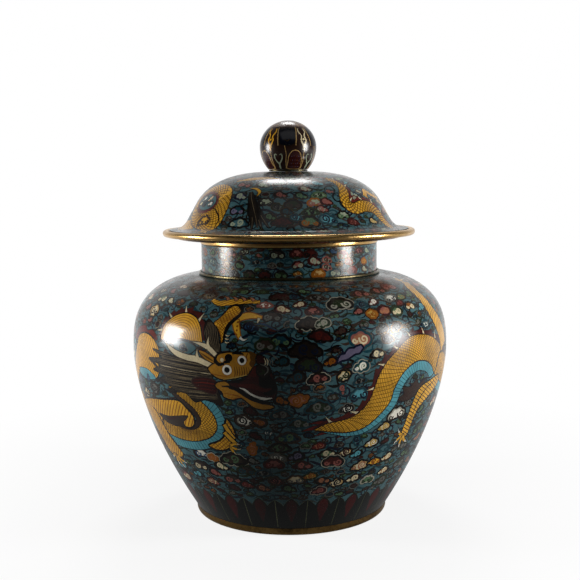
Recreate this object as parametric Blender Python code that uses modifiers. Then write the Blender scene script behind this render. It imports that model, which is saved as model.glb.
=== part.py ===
# Covered cloisonne jar: copper shells, fired enamel coats, gilt edges and a lid that lifts off.
# Units are metres, +Z is up, and the origin is on the table under the middle of the foot.

from math import cos, hypot, pi, sin

import bmesh
import bpy

mm = 0.001

# Walls and fits
copper_wall = 2.2 * mm
enamel_coat = 1.1 * mm
clearance = 0.3 * mm  # between pieces that touch
lid_play = 1.9 * mm  # all round, between the lid's collar and the mouth

# Foot
foot_radius = 123.1 * mm  # outer edge of the flat that it stands on
foot_swell = 5.5 * mm  # how far the rim swells past that edge
foot_height = 9.8 * mm
foot_round_height = 5.4 * mm  # the swell is upright above this
foot_width = 9.0 * mm  # of the flat that it stands on
foot_ledge = 4.0 * mm  # width of the ledge that carries the base plate
base_recess = 5.0 * mm  # base plate above the table
base_thickness = 2.2 * mm

# Body, on the outside of the enamel
belly_radius = 208.6 * mm
belly_height = 222.0 * mm
shoulder_height = 319.0 * mm
lower_fullness = 1.65  # 1 is a straight cone
shoulder_fullness = 2.9  # 2 is a quarter ellipse
lower_rows = 5
shoulder_rows = 6
row_crowding = 1.7  # draws the shoulder's rows towards the belly
body_facets = 40  # round each turned piece

# Lotus petal band round the foot
petal_count = 24
petal_tip_height = 58.0 * mm  # front petals
rear_petal_drop = 3.0 * mm  # rear petals stand this much lower
petal_valley_height = 47.0 * mm
petal_fullness = 1.7  # of the flanks, where 1 is straight
petal_roundness = 0.75  # of the tip, where 0.5 is a round arch
petal_wire_width = 1.8 * mm
petal_margin = 8.0 * mm  # plain ground above the tips
vein_start = 3.0 * mm  # the veins end this far above the foot rim

# Neck and mouth
neck_radius = 116.7 * mm  # outside of the enamel
neck_height = 40.0 * mm
neck_bead_width = 3.5 * mm
neck_bead_height = 3.7 * mm
neck_bead_round = 1.2 * mm
mouth_rim_height = 7.0 * mm
mouth_rim_lip = 1.3 * mm  # stands proud of the neck's enamel
mouth_rim_inset = 0.7 * mm  # stands proud of the neck's bore
mouth_rim_round = 1.6 * mm

# Lid, with heights above the top of the mouth rim
brim_radius = 167.0 * mm
brim_roll_radius = 4.25 * mm
brim_roll_height = 7.5 * mm  # middle of the rolled edge
brim_roll_sides = 8
brim_edge_height = 11.9 * mm  # top of the brim beside the roll
brim_root_radius = 142.5 * mm
brim_root_height = 14.2 * mm
dome_foot_radius = 137.5 * mm
dome_foot_height = 18.7 * mm
dome_knee_radius = 121.5 * mm  # where the straight side ends
dome_knee_height = 47.2 * mm
crown_height = 86.9 * mm
crown_flat_radius = 24.0 * mm  # level seat under the finial
crown_pull = 50.0 * mm  # how far the crown runs level before it bends down
knee_pull = 30.0 * mm  # how far the side runs straight before it bends in
knee_steps = 4
seat_ring_thickness = 2.0 * mm
seat_ring_slope = 10.2 * mm  # width of its outer part, which rises with the brim
collar_depth = 24.0 * mm
collar_wall = 2.0 * mm

# Finial
finial_radius = 37.4 * mm
finial_upper = 34.7 * mm  # from the widest level to the top
finial_lower = 40.8 * mm  # half axis of the lower curve
finial_seat_radius = 26.1 * mm
finial_steps = 4
finial_wall = 1.6 * mm
finial_collar_height = 2.2 * mm
finial_collar_set_back = 0.5 * mm  # from the edge of the ball's seat
stem_radius = 4.0 * mm
stem_below_nut = 4.0 * mm
stem_sides = 16
washer_radius = 14.0 * mm
washer_thickness = 2.0 * mm
nut_radius = 9.0 * mm
nut_height = 6.0 * mm
nut_sides = 6
finial_facets = 20
crease_angle = 0.6  # sharper edges than this aren't smoothed

# Places that follow from the sizes above
petal_facets = 2 * petal_count  # so that the petals and the lower body share their facets
foot_top = foot_height + clearance
foot_top_radius = foot_radius + foot_swell
under_coat = enamel_coat + clearance
neck_bore = neck_radius - under_coat - copper_wall
neck_top = shoulder_height + neck_height
mouth_bore = neck_bore - mouth_rim_inset
mouth_height = neck_top + clearance + mouth_rim_height
collar_radius = mouth_bore - lid_play
finial_rise = finial_lower * (1 - (finial_seat_radius / finial_radius) ** 2) ** 0.5
finial_base = crown_height + clearance + finial_collar_height + clearance
finial_middle = finial_base + finial_rise
stem_hole = stem_radius + clearance


# Profiles are lists of (radius, height) that run down the outer side


def body_radius(z):
    # outside of the enamel, from the foot to the neck
    if z <= belly_height:
        share = (belly_height - z) / (belly_height - foot_height)
        return belly_radius - (belly_radius - foot_top_radius) * max(share, 0.0) ** lower_fullness
    share = (z - belly_height) / (shoulder_height - belly_height)
    drop = max(1 - share**shoulder_fullness, 0.0) ** 0.5
    return neck_radius + (belly_radius - neck_radius) * drop


def lower_profile():
    band_top = petal_tip_height + petal_margin
    top = belly_height - clearance / 2
    heights = [top + (band_top - top) * i / (lower_rows - 1) for i in range(lower_rows)]
    heights.append(foot_top)
    return [(body_radius(z), z) for z in heights]


def shoulder_profile(inner_radius):
    # spaced by angle, closer together near the belly, so that both turns keep their shape
    points = [(inner_radius, shoulder_height)]
    for i in range(shoulder_rows + 1):
        angle = pi / 2 * (1 - i / shoulder_rows) ** row_crowding
        rise = sin(angle) ** (2 / shoulder_fullness)
        z = belly_height + (shoulder_height - belly_height) * rise
        r = neck_radius + (belly_radius - neck_radius) * cos(angle)
        if r > inner_radius:
            points.append((r, max(z, belly_height + clearance / 2)))
    return points


def bezier(a, b, c, d, steps):
    points = []
    for i in range(steps + 1):
        t = i / steps
        weights = ((1 - t) ** 3, 3 * (1 - t) ** 2 * t, 3 * (1 - t) * t**2, t**3)
        points.append(tuple(sum(w * p[k] for w, p in zip(weights, (a, b, c, d))) for k in (0, 1)))
    return points


def lid_profile(inner_radius, outer_radius):
    # level seat, crown, straight side and brim
    lean = hypot(dome_foot_radius - dome_knee_radius, dome_knee_height - dome_foot_height)
    side = (
        (dome_foot_radius - dome_knee_radius) / lean,
        (dome_foot_height - dome_knee_height) / lean,
    )
    crown = (crown_flat_radius, crown_height)
    knee = (dome_knee_radius, dome_knee_height)
    points = [(inner_radius, crown_height)]
    points += bezier(
        crown,
        (crown_flat_radius + crown_pull, crown_height),
        (knee[0] - side[0] * knee_pull, knee[1] - side[1] * knee_pull),
        knee,
        knee_steps,
    )
    points.append((dome_foot_radius, dome_foot_height))
    points.append((brim_root_radius, brim_root_height))
    points.append((outer_radius, brim_edge_height))
    return points


def finial_profile():
    points = []
    for i in range(finial_steps + 1):
        angle = pi / 2 * (1 - i / finial_steps)
        points.append((finial_radius * cos(angle), finial_middle + finial_upper * sin(angle)))
    points[0] = (0.0, finial_middle + finial_upper)
    for i in range(1, finial_steps):
        z = finial_rise * i / (finial_steps - 1)
        points.append((finial_radius * (1 - (z / finial_lower) ** 2) ** 0.5, finial_middle - z))
    return points


def inset(points, depth, start=None, end=None):
    # moves a profile into the wall; an end that is level keeps its height, one that is plumb its radius
    normals = []
    for (r0, z0), (r1, z1) in zip(points, points[1:]):
        length = hypot(r1 - r0, z1 - z0)
        normals.append(((z0 - z1) / length, (r1 - r0) / length))
    moved = []
    for i, (r, z) in enumerate(points):
        a = normals[max(i - 1, 0)]
        b = normals[min(i, len(normals) - 1)]
        scale = depth / (1 + a[0] * b[0] + a[1] * b[1])
        moved.append((r - (a[0] + b[0]) * scale, z - (a[1] + b[1]) * scale))
    for place, rule, normal in ((0, start, normals[0]), (-1, end, normals[-1])):
        r, z = points[place]
        if rule == "level":
            moved[place] = (r - depth / normal[0], z)
        if rule == "plumb":
            moved[place] = (r, z - depth / normal[1])
    return moved


def wall(outer, thickness, start=None, end=None):
    return outer + inset(outer, thickness, start, end)[::-1]


def rounded(corners, radius, steps=2):
    # cuts each corner of a closed section back by the radius and fills it with a curve
    points = []
    for i, corner in enumerate(corners):
        arms = []
        for other in (corners[i - 1], corners[(i + 1) % len(corners)]):
            length = hypot(other[0] - corner[0], other[1] - corner[1])
            share = min(radius / length, 0.4)
            arms.append(tuple(c + (o - c) * share for c, o in zip(corner, other)))
        for k in range(steps + 1):
            t = k / steps
            weights = ((1 - t) ** 2, 2 * t * (1 - t), t**2)
            section = (arms[0], corner, arms[1])
            points.append(tuple(sum(w * p[j] for w, p in zip(weights, section)) for j in (0, 1)))
    return points


# Objects


def clear_scene():
    for old in list(bpy.data.objects):
        bpy.data.objects.remove(old, do_unlink=True)
    for old in list(bpy.data.collections):
        bpy.data.collections.remove(old)


def new_collection(name):
    collection = bpy.data.collections.new(name)
    bpy.context.scene.collection.children.link(collection)
    return collection


def principled(name, colour, roughness, metallic=0.0):
    material = bpy.data.materials.new(name)
    material.use_nodes = True
    shader = material.node_tree.nodes["Principled BSDF"]
    shader.inputs["Base Color"].default_value = (*colour, 1.0)
    shader.inputs["Roughness"].default_value = roughness
    shader.inputs["Metallic"].default_value = metallic
    return material


def add_object(name, mesh, material, parent):
    piece = bpy.data.objects.new(name, mesh)
    mesh.materials.append(material)
    parts.objects.link(piece)
    piece.parent = parent
    return piece


def freeze(piece):
    # keeps the modelled form as a mesh, smooth on its curves and sharp at its edges
    bpy.context.view_layer.update()
    mesh = bpy.data.meshes.new_from_object(piece.evaluated_get(bpy.context.evaluated_depsgraph_get()))
    piece.modifiers.clear()
    piece.data = mesh
    mesh.shade_smooth()
    mesh.set_sharp_from_angle(angle=crease_angle)
    return piece


def turned(name, profile, material, parent, facets=body_facets):
    # a section that touches the axis is open there, and any other is a closed ring
    mesh = bpy.data.meshes.new(name)
    edges = [(i, i + 1) for i in range(len(profile) - 1)]
    if profile[0][0] > 0:
        edges.append((len(profile) - 1, 0))
    mesh.from_pydata([(r, 0.0, z) for r, z in profile], edges, [])
    piece = add_object(name, mesh, material, parent)
    screw = piece.modifiers.new("turn", "SCREW")
    screw.axis = "Z"
    screw.steps = facets
    screw.render_steps = facets
    screw.use_merge_vertices = True
    screw.merge_threshold = 0.00001
    return freeze(piece)


def on_body(angle, shift, z):
    # a point of the enamel's surface, shifted sideways along it
    r = body_radius(z)
    turn = angle + shift / r
    return (r * cos(turn), r * sin(turn), z)


def coat(name, mesh_builder, material, parent):
    sheet = bmesh.new()
    mesh_builder(sheet)
    mesh = bpy.data.meshes.new(name)
    sheet.to_mesh(mesh)
    sheet.free()
    piece = add_object(name, mesh, material, parent)
    solidify = piece.modifiers.new("coat", "SOLIDIFY")
    solidify.thickness = enamel_coat
    solidify.offset = -1.0
    return freeze(piece)


# Lotus petals: each repeat holds a front petal, with half a rear petal on both sides of it

petal_pitch = 2 * pi / petal_count
petal_stations = [i / 4 for i in range(-4, 5)]  # across one repeat, from vein to vein
wire_gap = 1.5 * clearance  # measured upright, so that the slanted edges stay clear too


def petal_edge(station):
    place = abs(station)
    tip = petal_tip_height if place <= 0.5 else petal_tip_height - rear_petal_drop
    across = place * 2 if place <= 0.5 else (1 - place) * 2
    arch = (1 - across**petal_fullness) ** petal_roundness
    return petal_valley_height + (tip - petal_valley_height) * arch


def petal_columns(half_slot):
    # (angle, sideways shift, edge height) of each column round the foot, two at each vein
    columns = []
    for repeat in range(petal_count):
        for station in petal_stations:
            shift = -station * half_slot if abs(station) == 1 else 0.0
            angle = (repeat + station / 2) * petal_pitch
            columns.append((angle, shift, petal_edge(station)))
    return columns


def is_vein(column):
    return column % len(petal_stations) == len(petal_stations) - 1


def ring(sheet, columns, height):
    return [sheet.verts.new(on_body(angle, shift, height(edge))) for angle, shift, edge in columns]


def join_rings(sheet, low, high, wanted=lambda i: True):
    count = len(low)
    for i in range(count):
        k = (i + 1) % count
        if wanted(i):
            sheet.faces.new((low[i], low[k], high[k], high[i]))


def petal_enamel_sheet(sheet):
    columns = petal_columns(petal_wire_width / 2 + clearance)
    foot = ring(sheet, columns, lambda edge: foot_top)
    start = ring(sheet, columns, lambda edge: foot_top + vein_start)
    top = ring(sheet, columns, lambda edge: edge - petal_wire_width / 2 - wire_gap)
    join_rings(sheet, foot, start)
    join_rings(sheet, start, top, lambda i: not is_vein(i))


def petal_wire_sheet(sheet):
    columns = petal_columns(petal_wire_width / 2)
    low = ring(sheet, columns, lambda edge: edge - petal_wire_width / 2)
    high = ring(sheet, columns, lambda edge: edge + petal_wire_width / 2)
    join_rings(sheet, low, high)
    for i in filter(is_vein, range(len(columns))):
        k = (i + 1) % len(columns)
        ends = [columns[i], columns[k]]
        foot = ring(sheet, ends, lambda edge: foot_top + vein_start + wire_gap)
        sheet.faces.new((foot[0], foot[1], low[k], low[i]))


def fan_rings(sheet, low, high):
    # joins a ring to one above it that has half as many columns
    for i in range(len(high)):
        k = (i + 1) % len(high)
        left, middle, right = low[2 * i], low[2 * i + 1], low[2 * k]
        sheet.faces.new((left, middle, high[i]))
        sheet.faces.new((middle, high[k], high[i]))
        sheet.faces.new((middle, right, high[k]))


def lower_enamel_sheet(sheet):
    # the scalloped edge has four columns to each facet of the rows above it
    columns = [c for i, c in enumerate(petal_columns(0.0)) if not is_vein(i)]
    edge = ring(sheet, columns, lambda z: z + petal_wire_width / 2 + wire_gap)
    heights = [z for r, z in lower_profile()[-2::-1]]
    band_top = ring(sheet, columns[::2], lambda z: heights[0])
    rows = [ring(sheet, columns[::4], lambda e, z=z: z) for z in heights[1:]]
    fan_rings(sheet, edge, band_top)
    fan_rings(sheet, band_top, rows[0])
    for low, high in zip(rows, rows[1:]):
        join_rings(sheet, low, high)


clear_scene()
parts = new_collection("cloisonne_jar")
cutters = new_collection("cutters")

gilt = principled("gilt", (0.58, 0.38, 0.13), 0.28, 1.0)
copper = principled("copper", (0.46, 0.23, 0.13), 0.4, 1.0)
turquoise = principled("turquoise_enamel", (0.07, 0.2, 0.24), 0.18)
petal_green = principled("petal_enamel", (0.012, 0.022, 0.016), 0.18)
finial_black = principled("finial_enamel", (0.02, 0.012, 0.01), 0.18)
brass = principled("brass", (0.5, 0.36, 0.16), 0.35, 1.0)

jar = bpy.data.objects.new("jar_axis", None)
parts.objects.link(jar)
lid = bpy.data.objects.new("lid_axis", None)
parts.objects.link(lid)
lid.parent = jar
lid.location.z = mouth_height

# Foot and base
foot_inner = foot_radius - foot_width
swell_turn = pi / 4  # one point half way round the swell
ledge_radius = foot_inner + foot_ledge
turned(
    "foot_rim",
    [
        (ledge_radius, foot_height),
        (foot_top_radius, foot_height),
        (foot_top_radius, foot_round_height),
        (foot_radius + foot_swell * sin(swell_turn), foot_round_height * (1 - cos(swell_turn))),
        (foot_radius, 0.0),
        (foot_inner, 0.0),
        (foot_inner, base_recess - clearance),
        (ledge_radius, base_recess - clearance),
    ],
    gilt,
    jar,
)
base_radius = ledge_radius - clearance
base_top = base_recess + base_thickness
turned(
    "base_plate",
    [(0.0, base_top), (base_radius, base_top), (base_radius, base_recess), (0.0, base_recess)],
    copper,
    jar,
)

# Body
turned(
    "lower_body_shell",
    wall(
        inset(lower_profile(), under_coat, "level", "level"),
        copper_wall,
        "level",
        "level",
    ),
    copper,
    jar,
    petal_facets,
)
turned(
    "shoulder_shell",
    wall(
        inset(shoulder_profile(neck_bore), under_coat, "plumb", "level"),
        copper_wall,
        "plumb",
        "level",
    ),
    copper,
    jar,
)
turned(
    "shoulder_enamel",
    wall(shoulder_profile(neck_radius + clearance), enamel_coat, "plumb", "level"),
    turquoise,
    jar,
)
coat("lower_body_enamel", lower_enamel_sheet, turquoise, jar)
coat("petal_enamel", petal_enamel_sheet, petal_green, jar)
coat("petal_wire", petal_wire_sheet, gilt, jar)

# Neck and mouth
neck_foot = shoulder_height - under_coat + clearance
tube_radius = neck_radius - under_coat
turned(
    "neck_tube",
    wall([(tube_radius, neck_top), (tube_radius, neck_foot)], copper_wall),
    copper,
    jar,
)
turned(
    "neck_enamel",
    wall([(neck_radius, neck_top), (neck_radius, neck_foot)], enamel_coat),
    turquoise,
    jar,
)
bead_inner = neck_radius + clearance
bead_outer = bead_inner + neck_bead_width
bead_foot = shoulder_height + clearance
bead_top = bead_foot + neck_bead_height
turned(
    "neck_bead",
    [
        (bead_inner, bead_top),
        (bead_outer - neck_bead_round, bead_top),
        (bead_outer, bead_top - neck_bead_round),
        (bead_outer, bead_foot + neck_bead_round),
        (bead_outer - neck_bead_round, bead_foot),
        (bead_inner, bead_foot),
    ],
    gilt,
    jar,
)
turned(
    "mouth_rim",
    rounded(
        [
            (mouth_bore, mouth_height),
            (neck_radius + mouth_rim_lip, mouth_height),
            (neck_radius + mouth_rim_lip, neck_top + clearance),
            (mouth_bore, neck_top + clearance),
        ],
        mouth_rim_round,
        steps=1,
    ),
    gilt,
    jar,
)

# Lid
roll_middle = brim_radius - brim_roll_radius
brim_end = roll_middle - brim_roll_radius - clearance
crown_bare_radius = finial_seat_radius - 2 * under_coat - copper_wall
lid_copper = inset(lid_profile(stem_hole, brim_end), under_coat, "plumb", "plumb")
turned("lid_shell", wall(lid_copper, copper_wall, "plumb", "plumb"), copper, lid)
turned(
    "lid_enamel",
    wall(lid_profile(crown_bare_radius, brim_end), enamel_coat, "plumb", "plumb"),
    turquoise,
    lid,
)
roll_turns = [pi - 2 * pi * i / brim_roll_sides for i in range(brim_roll_sides)]
turned(
    "lid_rim",
    [
        (roll_middle + brim_roll_radius * cos(turn), brim_roll_height + brim_roll_radius * sin(turn))
        for turn in roll_turns
    ],
    gilt,
    lid,
)
seat_inner = collar_radius - collar_wall
shell_under_brim = inset(lid_copper, copper_wall, "plumb", "plumb")[-1][1]
seat_edge_top = shell_under_brim - clearance
seat_flat_radius = brim_end - seat_ring_slope
turned(
    "lid_seat_ring",
    [
        (seat_inner, clearance + seat_ring_thickness),
        (seat_flat_radius, clearance + seat_ring_thickness),
        (brim_end, seat_edge_top),
        (brim_end, seat_edge_top - seat_ring_thickness),
        (seat_flat_radius, clearance),
        (seat_inner, clearance),
    ],
    copper,
    lid,
)
turned(
    "lid_collar",
    wall([(collar_radius, 0.0), (collar_radius, -collar_depth)], collar_wall),
    copper,
    lid,
)

# Finial
crown_copper = crown_height - under_coat
collar_seat = crown_height + clearance
collar_top = collar_seat + finial_collar_height
collar_edge = finial_seat_radius - finial_collar_set_back
collar_spigot = crown_bare_radius - clearance
turned(
    "finial_collar",
    [
        (stem_hole, collar_top),
        (collar_edge, collar_top),
        (collar_edge, collar_seat),
        (collar_spigot, collar_seat),
        (collar_spigot, crown_copper + clearance),
        (stem_hole, crown_copper + clearance),
    ],
    gilt,
    lid,
    finial_facets,
)
ball = finial_profile()
coat_inside = inset(ball, enamel_coat, end="level")
coat_inside[0] = (0.0, ball[0][1] - enamel_coat)
turned("finial_enamel", ball + coat_inside[::-1], finial_black, lid, finial_facets)
core = inset(ball, under_coat, end="level")
core[0] = (0.0, ball[0][1] - under_coat)
core_inside = inset(core, finial_wall, end="level")
core_inside[0] = (0.0, core[0][1] - finial_wall)
upper = core[: finial_steps + 1]
upper_inside = core_inside[: finial_steps + 1]
seam = clearance / 2
upper[-1] = (upper[-1][0], finial_middle + seam)
upper_inside[-1] = (upper_inside[-1][0], finial_middle + seam)
turned("finial_upper_cup", upper + upper_inside[::-1], copper, lid, finial_facets)
lower = core[finial_steps:]
lower_inside = core_inside[finial_steps:]
lower[0] = (lower[0][0], finial_middle - seam)
lower_inside[0] = (lower_inside[0][0], finial_middle - seam)
floor_top = finial_base + finial_wall
lower_inside[-1] = (lower_inside[-1][0], floor_top)
turned(
    "finial_lower_cup",
    lower + [(stem_hole, finial_base), (stem_hole, floor_top)] + lower_inside[::-1],
    copper,
    lid,
    finial_facets,
)

# Fixings under the dome
washer_top = crown_copper - copper_wall - clearance
nut_top = washer_top - washer_thickness - clearance
nut_foot = nut_top - nut_height
pole, shoulder = core_inside[:2]
stem_top = pole[1] - (pole[1] - shoulder[1]) * stem_radius / shoulder[0] - clearance
stem_foot = nut_foot - stem_below_nut
turned(
    "finial_washer",
    [
        (stem_hole, washer_top),
        (washer_radius, washer_top),
        (washer_radius, washer_top - washer_thickness),
        (stem_hole, washer_top - washer_thickness),
    ],
    brass,
    lid,
    finial_facets,
)


def rod(name, radius, bottom, top, sides):
    mesh = bpy.data.meshes.new(name)
    solid = bmesh.new()
    bmesh.ops.create_cone(
        solid,
        cap_ends=True,
        segments=sides,
        radius1=radius,
        radius2=radius,
        depth=top - bottom,
    )
    bmesh.ops.translate(solid, verts=solid.verts, vec=(0.0, 0.0, (bottom + top) / 2))
    solid.to_mesh(mesh)
    solid.free()
    return mesh


stem_mesh = rod("finial_stem", stem_radius, stem_foot, stem_top, stem_sides)
freeze(add_object("finial_stem", stem_mesh, brass, lid))
nut_mesh = rod("finial_nut", nut_radius, nut_foot, nut_top, nut_sides)
nut = add_object("finial_nut", nut_mesh, brass, lid)
bore_mesh = rod("nut_bore", stem_hole, stem_foot, washer_top, stem_sides)
nut_bore = bpy.data.objects.new("nut_bore", bore_mesh)
cutters.objects.link(nut_bore)
nut_bore.parent = lid
nut_bore.hide_render = True
nut_bore.display_type = "WIRE"
bore = nut.modifiers.new("bore", "BOOLEAN")
bore.operation = "DIFFERENCE"
bore.object = nut_bore
freeze(nut)
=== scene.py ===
import random
from math import cos, pi, radians, sin

import bpy
import numpy as np
from mathutils import Matrix, Vector
from mathutils.geometry import delaunay_2d_cdt


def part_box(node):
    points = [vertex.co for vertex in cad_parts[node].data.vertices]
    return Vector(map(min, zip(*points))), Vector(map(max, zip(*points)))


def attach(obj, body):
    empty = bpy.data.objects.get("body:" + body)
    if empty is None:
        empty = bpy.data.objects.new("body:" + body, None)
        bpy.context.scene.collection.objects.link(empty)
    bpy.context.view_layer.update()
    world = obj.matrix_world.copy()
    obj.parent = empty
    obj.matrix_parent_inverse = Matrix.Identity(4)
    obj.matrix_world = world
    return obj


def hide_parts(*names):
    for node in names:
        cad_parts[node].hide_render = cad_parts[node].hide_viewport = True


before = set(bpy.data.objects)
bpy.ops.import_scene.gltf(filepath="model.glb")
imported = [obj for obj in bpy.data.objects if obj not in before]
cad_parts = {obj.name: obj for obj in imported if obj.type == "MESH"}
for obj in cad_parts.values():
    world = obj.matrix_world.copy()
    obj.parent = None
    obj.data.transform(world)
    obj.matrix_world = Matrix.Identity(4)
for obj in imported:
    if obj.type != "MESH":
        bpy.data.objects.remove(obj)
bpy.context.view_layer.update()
mm = 0.001
print("frame loaded:", len(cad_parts), "nodes")


# sizes that the CAD gives, in millimetres

def low(node, axis):
    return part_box(node)[0][axis] / mm


def high(node, axis):
    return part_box(node)[1][axis] / mm


# materials

glazes = {  # fired colours as they look, 0 to 255
    "turquoise": (63, 93, 98),
    "aqua": (78, 140, 151),
    "teal": (25, 57, 65),
    "navy": (19, 25, 40),
    "blue": (38, 66, 92),
    "ochre": (202, 149, 46),
    # honey is a darker ochre: painted shade on the dragon's head, and the darker tone inside ochre and yellow
    # clouds
    "honey": (156, 109, 36),
    "straw": (172, 140, 88),
    "amber": (124, 72, 16),
    "umber": (82, 54, 17),
    "red": (90, 30, 24),
    "maroon": (50, 22, 21),
    "wine": (65, 26, 22),
    "rose": (130, 78, 70),
    "coral": (148, 98, 71),
    "cream": (198, 183, 148),
    "white": (214, 210, 196),
    "pearl": (146, 143, 128),
    "celadon": (138, 146, 124),
    "green": (74, 98, 70),
    "olive": (34, 44, 28),
    "yellow": (166, 135, 68),
    "lavender": (92, 86, 106),
    "grey": (92, 92, 86),
    "hair": (52, 42, 36),
    "soot": (33, 28, 24),
    "strand": (102, 90, 70),
    "black": (19, 17, 16),
    "petal": (15, 20, 16),
    "petalRed": (66, 17, 15),
    "ink": (13, 15, 25),
    # the brown for the finial's top is lighter than its ground: partly painted sheen from the light above
    "chestnut": (100, 74, 62),
    "finial": (42, 28, 23),
}


def shown(colour):  # display values to Blender's linear ones
    return tuple((c / 255) ** 2.2 for c in colour)


def feed(tree, socket, value):  # joins a socket to another node, or sets it
    if isinstance(value, bpy.types.NodeSocket):
        tree.links.new(value, socket)
    else:
        socket.default_value = value


def add(tree, kind, inputs=None, **values):
    node = tree.nodes.new("ShaderNode" + kind)
    for name, value in values.items():
        setattr(node, name, value)
    for name, value in (inputs or {}).items():
        feed(tree, node.inputs[name], value)
    return node


def newGroup(name, takes, gives):
    group = bpy.data.node_groups.new(name, "ShaderNodeTree")
    for label, kind, value in takes:
        socket = group.interface.new_socket(name=label, in_out="INPUT", socket_type="NodeSocket" + kind)
        socket.default_value = value
    for label, kind in gives:
        group.interface.new_socket(name=label, in_out="OUTPUT", socket_type="NodeSocket" + kind)
    return group, group.nodes.new("NodeGroupInput").outputs, group.nodes.new("NodeGroupOutput").inputs


def spread(tree, value, lowIn, highIn, lowOut=0.0, highOut=1.0):
    limits = {"From Min": lowIn, "From Max": highIn, "To Min": lowOut, "To Max": highOut}
    return add(tree, "MapRange", {"Value": value, **limits}).outputs["Result"]


def sums(tree, how, a, b):
    return add(tree, "Math", {0: a, 1: b}, operation=how).outputs[0]


def mixed(tree, how, amount, a, b):
    # sockets 6 and 7 are the two colours, and output 2 their mix
    return add(tree, "Mix", {0: amount, 6: a, 7: b}, data_type="RGBA", blend_type=how).outputs[2]


def firedGlassGroup():  # clouding, grain and pinholes of fired and ground enamel
    group, given, out = newGroup(
        "firedGlass",
        [("Colour", "Color", (0.5, 0.5, 0.5, 1)), ("Clouding", "Float", 0.5), ("Pinholes", "Float", 0.5)],
        [("Colour", "Color"), ("Roughness", "Float"), ("Height", "Float")],
    )
    place = add(group, "TexCoord").outputs["Object"]
    broad = add(group, "TexNoise", {"Vector": place, "Scale": 55.0, "Detail": 4.0}).outputs["Fac"]
    grain = add(group, "TexNoise", {"Vector": place, "Scale": 420.0, "Detail": 3.0}).outputs["Fac"]
    wear = add(group, "TexNoise", {"Vector": place, "Scale": 17.0, "Detail": 5.0}).outputs["Fac"]
    cells = add(group, "TexVoronoi", {"Vector": place, "Scale": 330.0}).outputs["Distance"]
    chosen = add(group, "TexNoise", {"Vector": place, "Scale": 130.0, "Detail": 1.0}).outputs["Fac"]
    hole = sums(group, "MULTIPLY", spread(group, cells, 0.2, 0.12), spread(group, chosen, 0.58, 0.66))
    hole = sums(group, "MULTIPLY", hole, given["Pinholes"])
    dark = mixed(group, "MULTIPLY", 1.0, given["Colour"], (0.62, 0.64, 0.66, 1))
    pale = mixed(group, "MULTIPLY", 1.0, given["Colour"], (1.3, 1.3, 1.26, 1))
    shade = sums(group, "ADD", sums(group, "MULTIPLY", broad, 0.65), sums(group, "MULTIPLY", grain, 0.35))
    cloudy = mixed(group, "MIX", spread(group, shade, 0.34, 0.66), dark, pale)
    cloudy = mixed(group, "MIX", given["Clouding"], given["Colour"], cloudy)
    group.links.new(mixed(group, "MIX", hole, cloudy, (0.03, 0.026, 0.02, 1)), out["Colour"])
    rough = sums(
        group, "ADD", spread(group, wear, 0.35, 0.7, 0.13, 0.27), spread(group, grain, 0.3, 0.7, 0.0, 0.06),
    )
    group.links.new(sums(group, "ADD", rough, sums(group, "MULTIPLY", hole, 0.4)), out["Roughness"])
    level = sums(group, "SUBTRACT", sums(group, "MULTIPLY", grain, 0.12), hole)
    group.links.new(sums(group, "ADD", level, sums(group, "MULTIPLY", broad, 0.5)), out["Height"])
    return group


def gildWearGroup():  # thin gold, rubbed through to brown copper, with fine scratches
    group, given, out = newGroup(
        "gildWear",
        [
            ("Bright", "Color", (0.6, 0.4, 0.15, 1)), ("Worn", "Color", (0.1, 0.06, 0.03, 1)),
            ("Wear", "Float", 0.4),
        ],
        [("Colour", "Color"), ("Roughness", "Float"), ("Height", "Float")],
    )
    place = add(group, "TexCoord").outputs["Object"]
    patch = add(
        group, "TexNoise", {"Vector": place, "Scale": 26.0, "Detail": 6.0, "Roughness": 0.65},
    ).outputs["Fac"]
    speck = add(group, "TexNoise", {"Vector": place, "Scale": 260.0, "Detail": 3.0}).outputs["Fac"]
    drawn = add(group, "Mapping", {"Vector": place, "Scale": (40.0, 40.0, 900.0)}).outputs["Vector"]
    lines = add(group, "TexNoise", {"Vector": drawn, "Scale": 1.0, "Detail": 2.0}).outputs["Fac"]
    edge = add(group, "NewGeometry").outputs["Pointiness"]
    rub = sums(group, "ADD", patch, sums(group, "MULTIPLY", sums(group, "SUBTRACT", speck, 0.5), 0.5))
    rub = sums(group, "ADD", rub, sums(group, "MULTIPLY", sums(group, "SUBTRACT", edge, 0.5), 0.6))
    start = sums(group, "SUBTRACT", 0.95, sums(group, "MULTIPLY", given["Wear"], 0.8))
    mask = spread(group, rub, start, sums(group, "ADD", start, 0.3))
    toned = mixed(
        group, "MULTIPLY", spread(group, lines, 0.3, 0.7, 0.0, 0.5), given["Bright"], (0.7, 0.62, 0.5, 1),
    )
    group.links.new(mixed(group, "MIX", mask, toned, given["Worn"]), out["Colour"])
    rough = sums(
        group, "ADD", spread(group, mask, 0.0, 1.0, 0.2, 0.42), spread(group, lines, 0.3, 0.7, 0.0, 0.12),
    )
    group.links.new(rough, out["Roughness"])
    level = sums(group, "SUBTRACT", sums(group, "MULTIPLY", lines, 0.3), sums(group, "MULTIPLY", mask, 0.4))
    group.links.new(level, out["Height"])
    return group


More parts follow.
